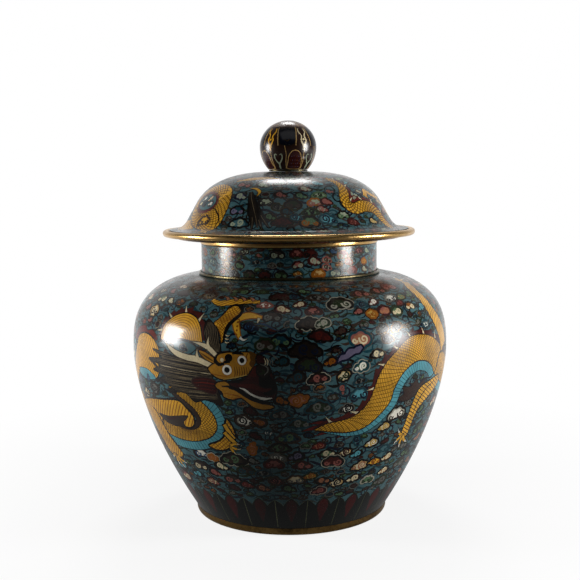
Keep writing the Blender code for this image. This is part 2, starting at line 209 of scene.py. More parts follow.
def settledDustGroup():  # grey film that lies in patches on upward faces
    group, given, out = newGroup(
        "settledDust",
        [("Colour", "Color", (0.5, 0.5, 0.5, 1)), ("Amount", "Float", 0.2)],
        [("Colour", "Color"), ("Mask", "Float")],
    )
    place = add(group, "TexCoord").outputs["Object"]
    up = add(group, "SeparateXYZ", {"Vector": add(group, "NewGeometry").outputs["Normal"]}).outputs["Z"]
    spots = add(
        group, "TexNoise", {"Vector": place, "Scale": 38.0, "Detail": 7.0, "Roughness": 0.7},
    ).outputs["Fac"]
    mask = sums(group, "MULTIPLY", spread(group, up, 0.35, 1.0), spread(group, spots, 0.4, 0.75))
    mask = sums(group, "MULTIPLY", mask, given["Amount"])
    group.links.new(mixed(group, "MIX", mask, given["Colour"], (0.23, 0.21, 0.18, 1)), out["Colour"])
    group.links.new(mask, out["Mask"])
    return group


firedGlass, gildWear, settledDust = firedGlassGroup(), gildWearGroup(), settledDustGroup()


def newMaterial(name):
    material = bpy.data.materials.new(name)
    material.use_nodes = True
    tree = material.node_tree
    return material, tree, tree.nodes["Principled BSDF"].inputs


def placedGroup(tree, group, inputs):
    node = tree.nodes.new("ShaderNodeGroup")
    node.node_tree = group
    for name, value in inputs.items():
        feed(tree, node.inputs[name], value)
    return node.outputs


glassFinish = {
    "clouding": 0.8, "pinholes": 0.8, "specular": 0.42, "dust": 0.18, "dustDulls": 0.4,
    "bump": 0.12, "bumpDepth": 0.0004,
}
giltFinish = {"dust": 0.15, "dustDulls": 0.5, "bump": 0.25, "bumpDepth": 0.0003}


def dressed(tree, shader, coat, dust, finish):  # dust over a coat, and the coat's own relief
    film = placedGroup(tree, settledDust, {"Colour": coat["Colour"], "Amount": dust})
    dull = sums(tree, "MULTIPLY", film["Mask"], finish["dustDulls"])
    tree.links.new(film["Colour"], shader["Base Color"])
    tree.links.new(sums(tree, "ADD", coat["Roughness"], dull), shader["Roughness"])
    relief = {"Height": coat["Height"], "Strength": finish["bump"], "Distance": finish["bumpDepth"]}
    tree.links.new(add(tree, "Bump", relief).outputs["Normal"], shader["Normal"])


def enamel(name, colour, dust):
    material, tree, shader = newMaterial(name)
    fired = {"Clouding": glassFinish["clouding"], "Pinholes": glassFinish["pinholes"]}
    glass = placedGroup(tree, firedGlass, {"Colour": (*shown(colour), 1), **fired})
    dressed(tree, shader, glass, dust, glassFinish)
    shader["Specular IOR Level"].default_value = glassFinish["specular"]
    return material


def gilded(name, bright, worn, wear, dust=giltFinish["dust"]):
    material, tree, shader = newMaterial(name)
    colours = {"Bright": (*shown(bright), 1), "Worn": (*shown(worn), 1)}
    gold = placedGroup(tree, gildWear, {**colours, "Wear": wear})
    dressed(tree, shader, gold, dust, giltFinish)
    shader["Metallic"].default_value = 1.0
    return material


dusty = {"chestnut": 0.8}  # glazes that lie level and are seldom wiped
glazeMaterials = {
    name: enamel("glaze_" + name, colour, dusty.get(name, glassFinish["dust"]))
    for name, colour in glazes.items()
}
glazeMaterials["wire"] = gilded("gilt_wire", (112, 86, 50), (60, 44, 28), 0.7)
glazeMaterials["petalWire"] = gilded("petal_wire_gilt", (128, 132, 106), (72, 78, 66), 0.6)
giltEdge = gilded("gilt_edge", (202, 164, 104), (110, 82, 48), 0.5)
giltBead = gilded("gilt_bead", (98, 90, 66), (62, 56, 42), 0.6)
giltFoot = gilded("gilt_foot", (158, 126, 76), (70, 54, 36), 0.6)
copperSheet = gilded("copper_sheet", (168, 104, 70), (74, 46, 34), 0.6, 0.3)
brassTurned = gilded("brass_turned", (190, 152, 90), (96, 72, 40), 0.35, 0.2)
print("materials made:", len(bpy.data.materials))


# turned surfaces and how the ornament is set on them

class Skin:  # drawn on in (angle from the front, length along the outline)
    def __init__(self, outline, disc=False):
        line = np.array(outline, float)
        run = np.diff(line, axis=0)
        self.length = np.concatenate(([0.0], np.cumsum(np.hypot(run[:, 0], run[:, 1]))))
        slope = np.gradient(line, self.length, axis=0)
        slope /= np.hypot(slope[:, 0], slope[:, 1])[:, None]
        self.line, self.disc = line, disc
        self.facing = np.stack((slope[:, 1], -slope[:, 0]), 1)
        self.whole, self.widest = self.length[-1], line[:, 0].max()

    def radius(self, s):
        return np.maximum(np.interp(s, self.length, self.line[:, 0]), 0.5)

    def flat(self, spots):  # the plane that the cells are cut in
        a, s = spots.T
        if self.disc:
            away = self.whole - s
            return np.stack((away * np.sin(a), -away * np.cos(a)), 1)
        return np.stack((a * self.widest, s), 1)

    def spots(self, flat):
        x, y = flat.T
        if self.disc:
            return np.stack((np.arctan2(x, -y), self.whole - np.hypot(x, y)), 1)
        return np.stack((x / self.widest, y), 1)

    def solid(self, spots, lift):  # points in metres, and the way they face
        a, s = spots.T
        r, z, outward, upward = (
            np.interp(s, self.length, column) for column in (*self.line.T, *self.facing.T)
        )
        r, z = r + outward * lift, z + upward * lift
        size = np.hypot(outward, upward)
        points = np.stack((r * np.sin(a), -r * np.cos(a), z), 1) * mm
        return points, np.stack((outward * np.sin(a), -outward * np.cos(a), upward), 1) / size[:, None]


def smooth(points, closed=False, steps=5, shift=0.0):  # a curve through (degrees, millimetres)
    p = np.array(points, float) + (shift, 0.0)
    p[:, 0] *= pi / 180
    ends = (p[-1:], p, p[:2]) if closed else (2 * p[:1] - p[1:2], p, 2 * p[-1:] - p[-2:-1])
    p = np.concatenate(ends)
    t = np.linspace(0, 1, steps, endpoint=False)[:, None]
    out = []
    for a, b, c, d in zip(p, p[1:], p[2:], p[3:]):
        curve = 2 * b + (c - a) * t + (2 * a - 5 * b + 4 * c - d) * t**2 + (3 * b - a - 3 * c + d) * t**3
        out.append(0.5 * curve)
    if not closed:
        out.append(p[-2:-1])
    return np.concatenate(out)


def lengths(skin, path):  # millimetres run at each point of a path
    x = path * np.stack((skin.radius(path[:, 1]), np.ones(len(path))), 1)
    return np.concatenate(([0.0], np.cumsum(np.hypot(*np.diff(x, axis=0).T))))


def pointsAt(path, along, want):
    return np.stack([np.interp(want, along, column) for column in path.T], -1)


def evenly(skin, path, count):  # the same curve with evenly spread points
    along = lengths(skin, path)
    return pointsAt(path, along, np.linspace(0, along[-1], count))


def sideways(skin, path, closed=False):  # a millimetre to the left of the path
    turn = np.roll(path, -1, 0) - np.roll(path, 1, 0) if closed else np.gradient(path, axis=0)
    r = skin.radius(path[:, 1])
    x, y = turn[:, 0] * r, turn[:, 1]
    size = np.hypot(x, y) + 1e-9
    return np.stack((-y / size / r, x / size), 1)


def ribbon(skin, path, *widths):
    place = np.linspace(0, 1, len(path))
    half = np.interp(place, np.linspace(0, 1, len(widths)), widths) / 2 if len(widths) > 1 else widths[0] / 2
    across = sideways(skin, path) * (half * np.ones(len(path)))[:, None]
    return np.concatenate((path + across, (path - across)[::-1]))


def grown(skin, loop, by):
    x, y = loop[:, 0] * skin.radius(loop[:, 1].mean()), loop[:, 1]
    way = 1 if (x * np.roll(y, -1) - np.roll(x, -1) * y).sum() > 0 else -1
    return loop - sideways(skin, loop, True) * by * way


def placed(skin, deg, s, shape, size, turn=0.0, flip=1):  # a flat motif set on the skin
    x, y = shape[:, 0] * flip, shape[:, 1]
    c, k = cos(radians(turn)), sin(radians(turn))
    x, y = (x * c - y * k) * size, (x * k + y * c) * size
    return np.stack((radians(deg) + x / skin.radius(s), s + y), 1)


def inside(points, loop):
    a, b = loop, np.roll(loop, -1, 0)
    found = np.zeros(len(points), bool)
    for start in range(0, len(points), 4000):
        x, y = points[start:start + 4000].T[:, :, None]
        side = (b[:, 0] - a[:, 0]) * (y - a[:, 1]) - (x - a[:, 0]) * (b[:, 1] - a[:, 1])
        up = (a[:, 1] <= y) & (b[:, 1] > y) & (side > 0)
        down = (a[:, 1] > y) & (b[:, 1] <= y) & (side < 0)
        found[start:start + 4000] = up.sum(1) != down.sum(1)
    return found


class Sheet:  # cells of enamel and wire, painted in order
    def __init__(self, skin, ground):
        self.skin, self.ground, self.cells, self.solids = skin, ground, [], []

    def fill(self, loop, glaze, within=None):
        self.cells.append((loop, glaze, within))
        return loop

    def cell(self, loop, glaze, edge, width):  # a colour with a line round it
        self.fill(grown(self.skin, loop, width / 2), edge)
        return self.fill(grown(self.skin, loop, -width / 2), glaze)

    def patch(self, points, glaze, edge, width, shift=0.0, steps=4):
        loop = self.cell(smooth(points, True, steps, shift), glaze, edge, width)
        self.solids.append(loop)
        return loop

    def strip(self, points, glaze, *widths, edge="black", width=1.0, shift=0.0, steps=4):
        loop = self.cell(ribbon(self.skin, smooth(points, False, steps, shift), *widths), glaze, edge, width)
        self.solids.append(loop)
        return loop

    def line(self, points, glaze, *widths, within=None, shift=0.0, steps=4):
        return self.fill(ribbon(self.skin, smooth(points, False, steps, shift), *widths), glaze, within)

    def spot(self, deg, s, radius, glaze, edge=None, width=1.0, count=18):
        loop = placed(self.skin, deg, s, disc(count), radius)
        if edge:
            self.fill(grown(self.skin, loop, width), edge)
        return self.fill(loop, glaze)

    def hatch(self, loop, glaze, turn, gap, width):  # even lines across a cell
        middle = loop.mean(0)
        r = self.skin.radius(middle[1])
        flat = (loop - middle) * (r, 1.0)
        c, k = cos(radians(turn)), sin(radians(turn))
        along, across = flat @ (c, k), flat @ (-k, c)
        for v in np.arange(across.min() + gap / 2, across.max(), gap):
            u = np.arange(along.min(), along.max(), 2.5)
            path = np.stack((u * c - v * k, u * k + v * c), 1) / (r, 1.0) + middle
            kept = inside(path, loop)
            if kept.any():
                first, last = np.flatnonzero(kept)[[0, -1]]
                path = path[max(first - 1, 0):last + 2]
                if len(path) > 2:
                    self.fill(ribbon(self.skin, path, width), glaze, loop)


def disc(count):
    turn = np.linspace(0, 2 * pi, count, endpoint=False)
    return np.stack((np.cos(turn), np.sin(turn)), 1)


def lobes(circles):  # outline of overlapping discs, as seen from the middle
    ray = disc(42)
    reach = np.zeros(len(ray))
    for x, y, r in circles:
        along = ray @ (x, y)
        room = r * r - (x * x + y * y - along**2)
        reach = np.maximum(reach, np.where(room >= 0, along + np.sqrt(np.maximum(room, 0)), 0))
    return ray * reach[:, None]


def curl(x, y, start, end, turns, begin, count=13):  # a spiral line
    t = np.linspace(0, 1, count)
    r, a = start + (end - start) * t, begin + turns * 2 * pi * t
    return np.stack((x + r * np.cos(a), y + r * np.sin(a)), 1)


# outline discs and curls, for a cloud one unit wide
cloudKinds = {
    "ruyi": (
        [
            (-0.27, -0.04, 0.22), (0.27, -0.04, 0.22), (-0.11, 0.13, 0.19), (0.13, 0.14, 0.18),
            (0.0, -0.02, 0.2),
        ],
        [curl(-0.22, -0.03, 0.18, 0.03, -1.35, 0.3), curl(0.27, -0.07, 0.11, 0.02, 1.1, pi - 0.3)],
    ),
    "comma": (
        [
            (-0.2, 0.02, 0.25), (-0.02, 0.14, 0.2), (0.06, -0.1, 0.2), (0.24, 0.0, 0.17),
            (0.36, -0.12, 0.12), (0.0, 0.0, 0.2),
        ],
        [curl(-0.1, 0.03, 0.2, 0.03, 1.5, -1.2, 16), curl(0.25, -0.06, 0.09, 0.02, -1.0, 0.2, 9)],
    ),
    "fungus": (
        [
            (-0.22, 0.04, 0.26), (0.22, 0.04, 0.26), (0.0, 0.16, 0.25), (-0.08, -0.16, 0.18),
            (0.14, -0.16, 0.17),
        ],
        [curl(-0.13, 0.05, 0.2, 0.03, -1.4, 0.2, 16), curl(0.24, -0.03, 0.11, 0.02, 1.15, pi - 0.2, 11)],
    ),
    "bank": (
        [
            (-0.36, -0.05, 0.13), (-0.2, 0.06, 0.16), (0.0, 0.12, 0.18), (0.2, 0.06, 0.17),
            (0.37, -0.04, 0.13), (-0.12, -0.1, 0.13), (0.12, -0.1, 0.14), (0.0, 0.0, 0.15),
        ],
        [curl(0.05, 0.05, 0.15, 0.03, 1.4, -2.0, 15), curl(-0.26, -0.01, 0.1, 0.02, -1.1, 0.2, 10)],
    ),
}


# darker glaze that lies inside the rim of a cloud
shades = {
    "coral": "rose", "rose": "wine", "cream": "straw", "white": "pearl", "green": "olive",
    "yellow": "honey", "olive": "soot", "grey": "hair", "red": "wine", "turquoise": "teal",
    "aqua": "turquoise", "hair": "soot", "teal": "navy", "lavender": "navy", "ochre": "honey",
    "amber": "umber",
}


cloudForm = {  # millimetres, and shares of a cloud's width
    "rimShare": 0.12, "widestRim": 2.6, "curlTaper": 0.6, "wire": 0.25, "outerWire": 1.4, "outerLine": 1.1,
    "shadedFrom": 15, "heart": 0.6,
}


def cloud(sheet, deg, s, size, fill, rim, core, kind, turn=0.0, flip=1, shift=0.0, outer=None):
    skin, form = sheet.skin, cloudForm
    circles, curls = cloudKinds[kind]
    edge = min(form["widestRim"], form["rimShare"] * size)
    loop = placed(skin, deg + shift, s, lobes(circles), size, turn, flip)
    if outer:
        sheet.fill(grown(skin, loop, form["outerWire"]), "wire")
        sheet.fill(grown(skin, loop, form["outerLine"]), outer)
    else:
        sheet.fill(grown(skin, loop, form["wire"]), "wire")
    sheet.fill(loop, rim)
    shaded = size > form["shadedFrom"] and fill in shades
    sheet.fill(grown(skin, loop, -edge), shades[fill] if shaded else fill)
    if shaded:
        sheet.fill(placed(skin, deg + shift, s, lobes(circles) * form["heart"], size, turn, flip), fill)
    for path in curls:
        line = placed(skin, deg + shift, s, path, size, turn, flip)
        sheet.fill(ribbon(skin, line, edge, edge * form["curlTaper"]), core, loop)
    sheet.solids.append(loop)


def wisp(sheet, deg, s, length, width, glaze, rise, phase):  # a flowing tail of cloud
    t = np.linspace(0, 1, 9)
    r = sheet.skin.radius(s)
    x = radians(deg) + (t - 0.5) * length / r
    y = s + rise * t + 0.16 * abs(length) * np.sin(phase + t * 5.2) * (0.4 + 0.3 * t)
    loop = ribbon(sheet.skin, np.stack((x, y), 1), 0.4, width, width * 0.8, 0.3)
    if glaze == "blue":
        sheet.fill(grown(sheet.skin, loop, cloudForm["wire"]), "wire")
    sheet.fill(loop, glaze)


def net(sheet, back, belly, pitch, glaze, width):  # crossing lines that make scales between two edges
    skin = sheet.skin
    middle = (back + belly) / 2
    along = lengths(skin, middle)
    wide = np.hypot((back - belly)[:, 0] * skin.radius(middle[:, 1]), (back - belly)[:, 1])
    t = np.linspace(0, 1, 9)
    for way in (1, -1):
        for u in np.arange(-wide.max() / 2, along[-1] + wide.max() / 2, pitch):
            run = u + way * (t - 0.5) * np.interp(u, along, wide)
            kept = (run >= 0) & (run <= along[-1])
            if kept.sum() > 2:
                a, b = (pointsAt(edge, along, run[kept]) for edge in (back, belly))
                sheet.fill(ribbon(skin, a + (b - a) * t[kept][:, None], width), glaze)


finStep = 1.6  # spacing of the points along a fin, in millimetres


def fin(sheet, back, depth, glaze, tooth):  # flame edge along the back
    skin = sheet.skin
    along = lengths(skin, back)
    want = np.arange(0, along[-1], finStep)
    path = pointsAt(back, along, want)
    saw = want / tooth % 1
    reach = depth * (0.55 + 0.6 * saw**2) * np.minimum(1, want / 30 + 0.3)
    out = path + sideways(skin, path) * reach[:, None]
    loop = np.concatenate((path, out[::-1]))
    sheet.fill(grown(skin, loop, 0.5), "black")
    sheet.fill(loop, glaze)
    sheet.solids.append(loop)
    return path, want


def spikes(sheet, path, want, gap, length, glaze):
    left = sideways(sheet.skin, path)
    ahead = np.gradient(path, axis=0)
    for u in np.arange(gap * 0.6, want[-1] - gap * 0.4, gap):
        i = int(u / finStep)
        root, tip = path[i], path[i] + left[i] * length - ahead[i] * 3
        loop = np.stack(
            (root - ahead[i] * 1.2, root + ahead[i] * 1.2, (root + tip) / 2 + ahead[i] * 0.5, tip),
        )
        sheet.fill(grown(sheet.skin, loop, 0.4), "black")
        sheet.fill(loop, glaze)


def band(sheet, edge, width, glaze, rib, ribGlaze):  # ribbed belly beside a body
    skin = sheet.skin
    taper = np.minimum(1, np.linspace(0.0, 6, len(edge)))[:, None]
    out = edge - sideways(skin, edge) * width * taper
    loop = np.concatenate((edge, out[::-1]))
    sheet.cell(loop, glaze, "black", 1.0)
    sheet.solids.append(loop)
    along = lengths(skin, edge)
    for u in np.arange(rib, along[-1], rib):
        a, b = pointsAt(edge, along, u), pointsAt(out, along, u + rib * 0.4)
        sheet.fill(ribbon(skin, np.stack((a, (a + b) / 2, b)), 0.7), ribGlaze, loop)


def claws(sheet, deg, s, turns, length, tip="white", shift=0.0):  # toes with nails
    skin = sheet.skin
    toe = np.array([(0.0, 0.0), (0.3, 0.07), (0.62, 0.05), (0.85, -0.08)])
    nail = np.array([(0.72, 0.0), (0.95, -0.08), (1.12, -0.27)])
    for turn in turns:
        bend = 1 if turn % 360 < 180 else -1
        path = placed(skin, deg + shift, s, toe * (1, bend), length, turn)
        sheet.cell(ribbon(skin, path, length * 0.34, length * 0.28, length * 0.24), "ochre", "black", 1.0)
        path = placed(skin, deg + shift, s, nail * (1, bend), length, turn)
        sheet.cell(ribbon(skin, path, length * 0.17, length * 0.12, 0.3), tip, "black", 0.7)


cutting = {"wireLift": 0.07, "mostFaces": 90000, "weld": 1e-4, "sliver": 1e-6}


def cut(sheet, name, edges, spacing, copies, hole=None):
    # cuts the painted plane into triangles and gathers each colour into a mesh of its own
    skin, points, lines = sheet.skin, [], []
    flats = [
        (skin.flat(loop), glaze, None if within is None else skin.flat(within))
        for loop, glaze, within in sheet.cells
    ]
    border = skin.flat(edges)
    gap = [] if hole is None else [skin.flat(hole)]
    for loop in [border] + gap + [f[0] for f in flats]:
        start = len(points)
        points.extend(loop.tolist())
        lines.extend((start + i, start + (i + 1) % len(loop)) for i in range(len(loop)))
    least, most = border.min(0), border.max(0)
    across, up = (np.arange(a + spacing / 2, b, spacing) for a, b in zip(least, most))
    grid = np.stack(np.meshgrid(across, up), -1).reshape(-1, 2)
    grid[:, 0] += (np.round(grid[:, 1] / spacing) % 2 - 0.5) * spacing / 2
    points.extend(grid[inside(grid, border)].tolist())
    verts, _, faces, _, _, _ = delaunay_2d_cdt(points, lines, [], 0, cutting["weld"], False)
    verts, faces = np.array([tuple(v) for v in verts]), np.array(faces)
    a, b, c = (verts[faces[:, i]] for i in range(3))
    area = (b[:, 0] - a[:, 0]) * (c[:, 1] - a[:, 1]) - (b[:, 1] - a[:, 1]) * (c[:, 0] - a[:, 0])
    faces[area < 0] = faces[area < 0][:, ::-1]
    faces = faces[np.abs(area) > cutting["sliver"]]
    middle = verts[faces].mean(1)
    kept = inside(middle, border)
    for loop in gap:
        kept &= ~inside(middle, loop)
    faces, middle = faces[kept], middle[kept]
    order = np.argsort(middle[:, 0])
    faces, middle = faces[order], middle[order]
    names = [sheet.ground] + sorted({glaze for _, glaze, _ in flats} - {sheet.ground})
    colour = np.zeros(len(faces), int)
    for loop, glaze, within in flats:
        first, last = np.searchsorted(middle[:, 0], (loop[:, 0].min(), loop[:, 0].max()))
        near = np.arange(first, last)
        near = near[(middle[near, 1] > loop[:, 1].min()) & (middle[near, 1] < loop[:, 1].max())]
        near = near[inside(middle[near], loop)]
        if within is not None:
            near = near[inside(middle[near], within)]
        colour[near] = names.index(glaze)
    made = []
    for index, glaze in enumerate(names):
        own = faces[colour == index]
        if not len(own):
            continue
        parts = [(name + "_" + glaze, own)]
        if len(own) > cutting["mostFaces"]:
            half = len(own) // 2
            parts = [(name + "_" + glaze + "A", own[:half]), (name + "_" + glaze + "B", own[half:])]
        for label, some in parts:
            used, some = np.unique(some, return_inverse=True)
            spots = skin.spots(verts[used])
            made.append(colourPiece(label, skin, spots, some.reshape(-1, 3), glaze, copies))
    print(name, "cut:", len(faces), "faces,", len(made), "colours")
    return made


def colourPiece(name, skin, spots, faces, glaze, copies):
    points, facing = skin.solid(spots, cutting["wireLift"] if "wire" in glaze else 0.0)
    if skin.disc:
        sheetMap = skin.flat(spots) / (2.1 * skin.whole) + 0.5
    else:
        sheetMap = np.stack((spots[:, 0] / (2 * pi) + 0.5, spots[:, 1] / skin.whole), 1)
    if copies == 2:  # the other half of the body
        points = np.concatenate((points, points * (-1, -1, 1)))
        facing = np.concatenate((facing, facing * (-1, -1, 1)))
        sheetMap = np.concatenate((sheetMap, sheetMap + (0.5, 0.0)))
        faces = np.concatenate((faces, faces + len(spots)))
    mesh = bpy.data.meshes.new(name)
    mesh.from_pydata(points.tolist(), [], faces.tolist())
    mesh.polygons.foreach_set("use_smooth", np.ones(len(faces), bool))
    mesh.uv_layers.new(name="OFBake").data.foreach_set(
        "uv", sheetMap[faces.ravel()].astype(np.float32).ravel(),
    )
    mesh.normals_split_custom_set_from_vertices(facing.tolist())
    mesh.materials.append(glazeMaterials[glaze])
    piece = bpy.data.objects.new(name, mesh)
    bpy.context.scene.collection.objects.link(piece)
    return piece


def fitted(pieces, body, slot, *nodes):
    for piece in pieces:
        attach(piece, body)
        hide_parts(*nodes)


# body of the jar

bodyForm = {
    "lowerFullness": 1.65,
    "shoulderFullness": 2.9,
    "belly": high("lower_body_enamel", 0),
    "bellyHeight": (high("lower_body_enamel", 2) + low("shoulder_enamel", 2)) / 2,
    "foot": high("foot_rim", 0),
    "footTop": low("petal_enamel", 2),
    "neck": high("neck_enamel", 0),
    "shoulderTop": high("shoulder_enamel", 2),
}


def bodyOutline(form):
    line = []
    rise = form["bellyHeight"] - form["footTop"]
    for i in range(120):
        z = form["footTop"] + rise * i / 120
        share = ((form["bellyHeight"] - z) / rise) ** form["lowerFullness"]
        line.append((form["belly"] - (form["belly"] - form["foot"]) * share, z))
    height = form["shoulderTop"] - form["bellyHeight"]
    for i in range(161):
        turn = pi / 2 * i / 160
        z = form["bellyHeight"] + height * sin(turn) ** (2 / form["shoulderFullness"])
        line.append((form["neck"] + (form["belly"] - form["neck"]) * cos(turn), z))
    return line


bodySkin = Skin(bodyOutline(bodyForm))
chance = random.Random(11)
other = -180.0  # the second dragon's parts are drawn half a turn round, on the same half of the design

dragonBody = {
    "back": [
        (-172, 158), (-168, 165), (-160, 170), (-156, 178), (-153, 190), (-151.5, 205), (-150, 220),
        (-147, 235), (-143, 246), (-138, 258), (-133, 262), (-127, 260), (-122, 255), (-117, 246),
        (-113, 236), (-107, 224), (-99, 212), (-90, 200), (-81, 188), (-72, 176), (-63, 165), (-54, 156),
        (-47, 151), (-41, 147.5), (-36.5, 150), (-33.5, 158), (-33, 168), (-35.5, 180), (-41, 192),
        (-46, 202),
    ],
    "belly": [
        (-172, 157), (-165, 153), (-160, 151), (-155, 153), (-151, 160), (-147, 172), (-144, 185),
        (-143, 200), (-141, 212), (-138, 222), (-133, 229), (-128, 228), (-123, 220), (-119, 206),
        (-112, 193), (-103, 181), (-93, 169), (-83, 158), (-73, 147), (-63, 138), (-53, 132), (-46, 130),
        (-38, 132), (-31, 140), (-27.5, 150), (-26.3, 160), (-27, 173), (-30, 186), (-35, 197), (-40, 206),
    ],
    "scale": 5.0, "finDepth": 8.0, "bellyWidth": 12.5, "loopStart": -52,
}


def drawDragonBody(sheet, form):
    skin = sheet.skin
    back = evenly(skin, smooth(form["back"], steps=6), 240)
    belly = evenly(skin, smooth(form["belly"], steps=6), 240)
    turnAt = int(np.argmax(np.degrees(back[:, 0]) > form["loopStart"]))
    path, want = fin(sheet, back[:turnAt], form["finDepth"], "wine", 19.0)
    spikes(sheet, path, want, 29.0, 9.0, "cream")
    loop = back[turnAt:] + sideways(skin, back[turnAt:]) * 3.2  # plain dark edge inside the loop
    sheet.cell(ribbon(skin, loop, 1.0, 7.0, 7.0, 7.0, 3.0), "hair", "black", 1.0)
    band(sheet, belly, form["bellyWidth"], "aqua", 4.5, "teal")
    loop = np.concatenate((back, belly[::-1]))
    sheet.cell(loop, "ochre", "black", 1.6)
    sheet.solids.append(loop)
    net(sheet, back, belly, form["scale"], "umber", 0.8)


def drawTail(sheet, shift):
    for tip, root, wide in (
        ((3.5, 156), (13, 161), 6), ((8, 149), (17, 155), 5), ((16, 144), (23, 153), 5),
        ((6, 166), (14, 164), 5),
    ):
        middle = ((tip[0] + root[0]) / 2, (tip[1] + root[1]) / 2 + 2)
        sheet.strip([root, middle, tip], "red", wide * 1.2, wide, 0.5, edge="black", width=0.8, shift=shift)
    for at, size, turn in (((42, 208), 15, 40), ((52, 215), 17, 10)):
        cloud(sheet, *at, size, "aqua", "teal", "teal", "comma", turn, shift=shift)
    flame = sheet.patch(
        [
            (39, 186), (42, 192), (41, 201), (45, 199), (48, 207), (50, 200), (54, 204), (52, 192),
            (48, 184), (43, 181),
        ],
        "hair", "black", 1.2, shift,
    )
    sheet.hatch(flame, "maroon", 70, 3.0, 0.8)


def drawHindLeg(sheet, shift):
    loop = sheet.patch(
        [
            (66, 202), (58, 200), (52, 196), (49.5, 188), (48, 176), (47, 160), (46.3, 146), (46, 134),
            (48, 128), (50.5, 130), (51.2, 142), (51.8, 155), (54, 167), (60, 178), (67, 189),
        ],
        "ochre", "black", 2.2, shift,
    )
    sheet.hatch(loop, "umber", -28, 4.2, 1.1)
    claws(sheet, 48, 131, (150, 205, 260, 310), 17, shift=shift)
    sheet.line(
        [(62, 196), (56, 190), (52, 178), (50.5, 164), (49.5, 150)], "black", 1.0, 2.4, 0.8, shift=shift,
    )
    limb = sheet.strip(
        [(70.5, 236), (68.5, 252), (65.5, 270), (63, 288), (62.5, 305), (63, 322), (68, 340)], "ochre", 30,
        28, 26, 24, 22, 20, 14, width=2.8, shift=shift,
    )
    sheet.hatch(limb, "umber", 60, 5.0, 1.3)
    sheet.line(
        [(71, 229), (65.5, 231), (63.2, 222), (61.5, 210), (58, 203), (54, 206)], "black", 1.0, 3.2, 3.4,
        2.8, 2.6, 1.0, shift=shift,
    )
    for deg, s in ((70, 284), (69.4, 302), (68.8, 326)):
        cloud(sheet, deg, s, 13, "hair", "black", "amber", "comma", 60, shift=shift)
    claws(sheet, 67, 341, (20, 75, 130), 16, shift=shift)


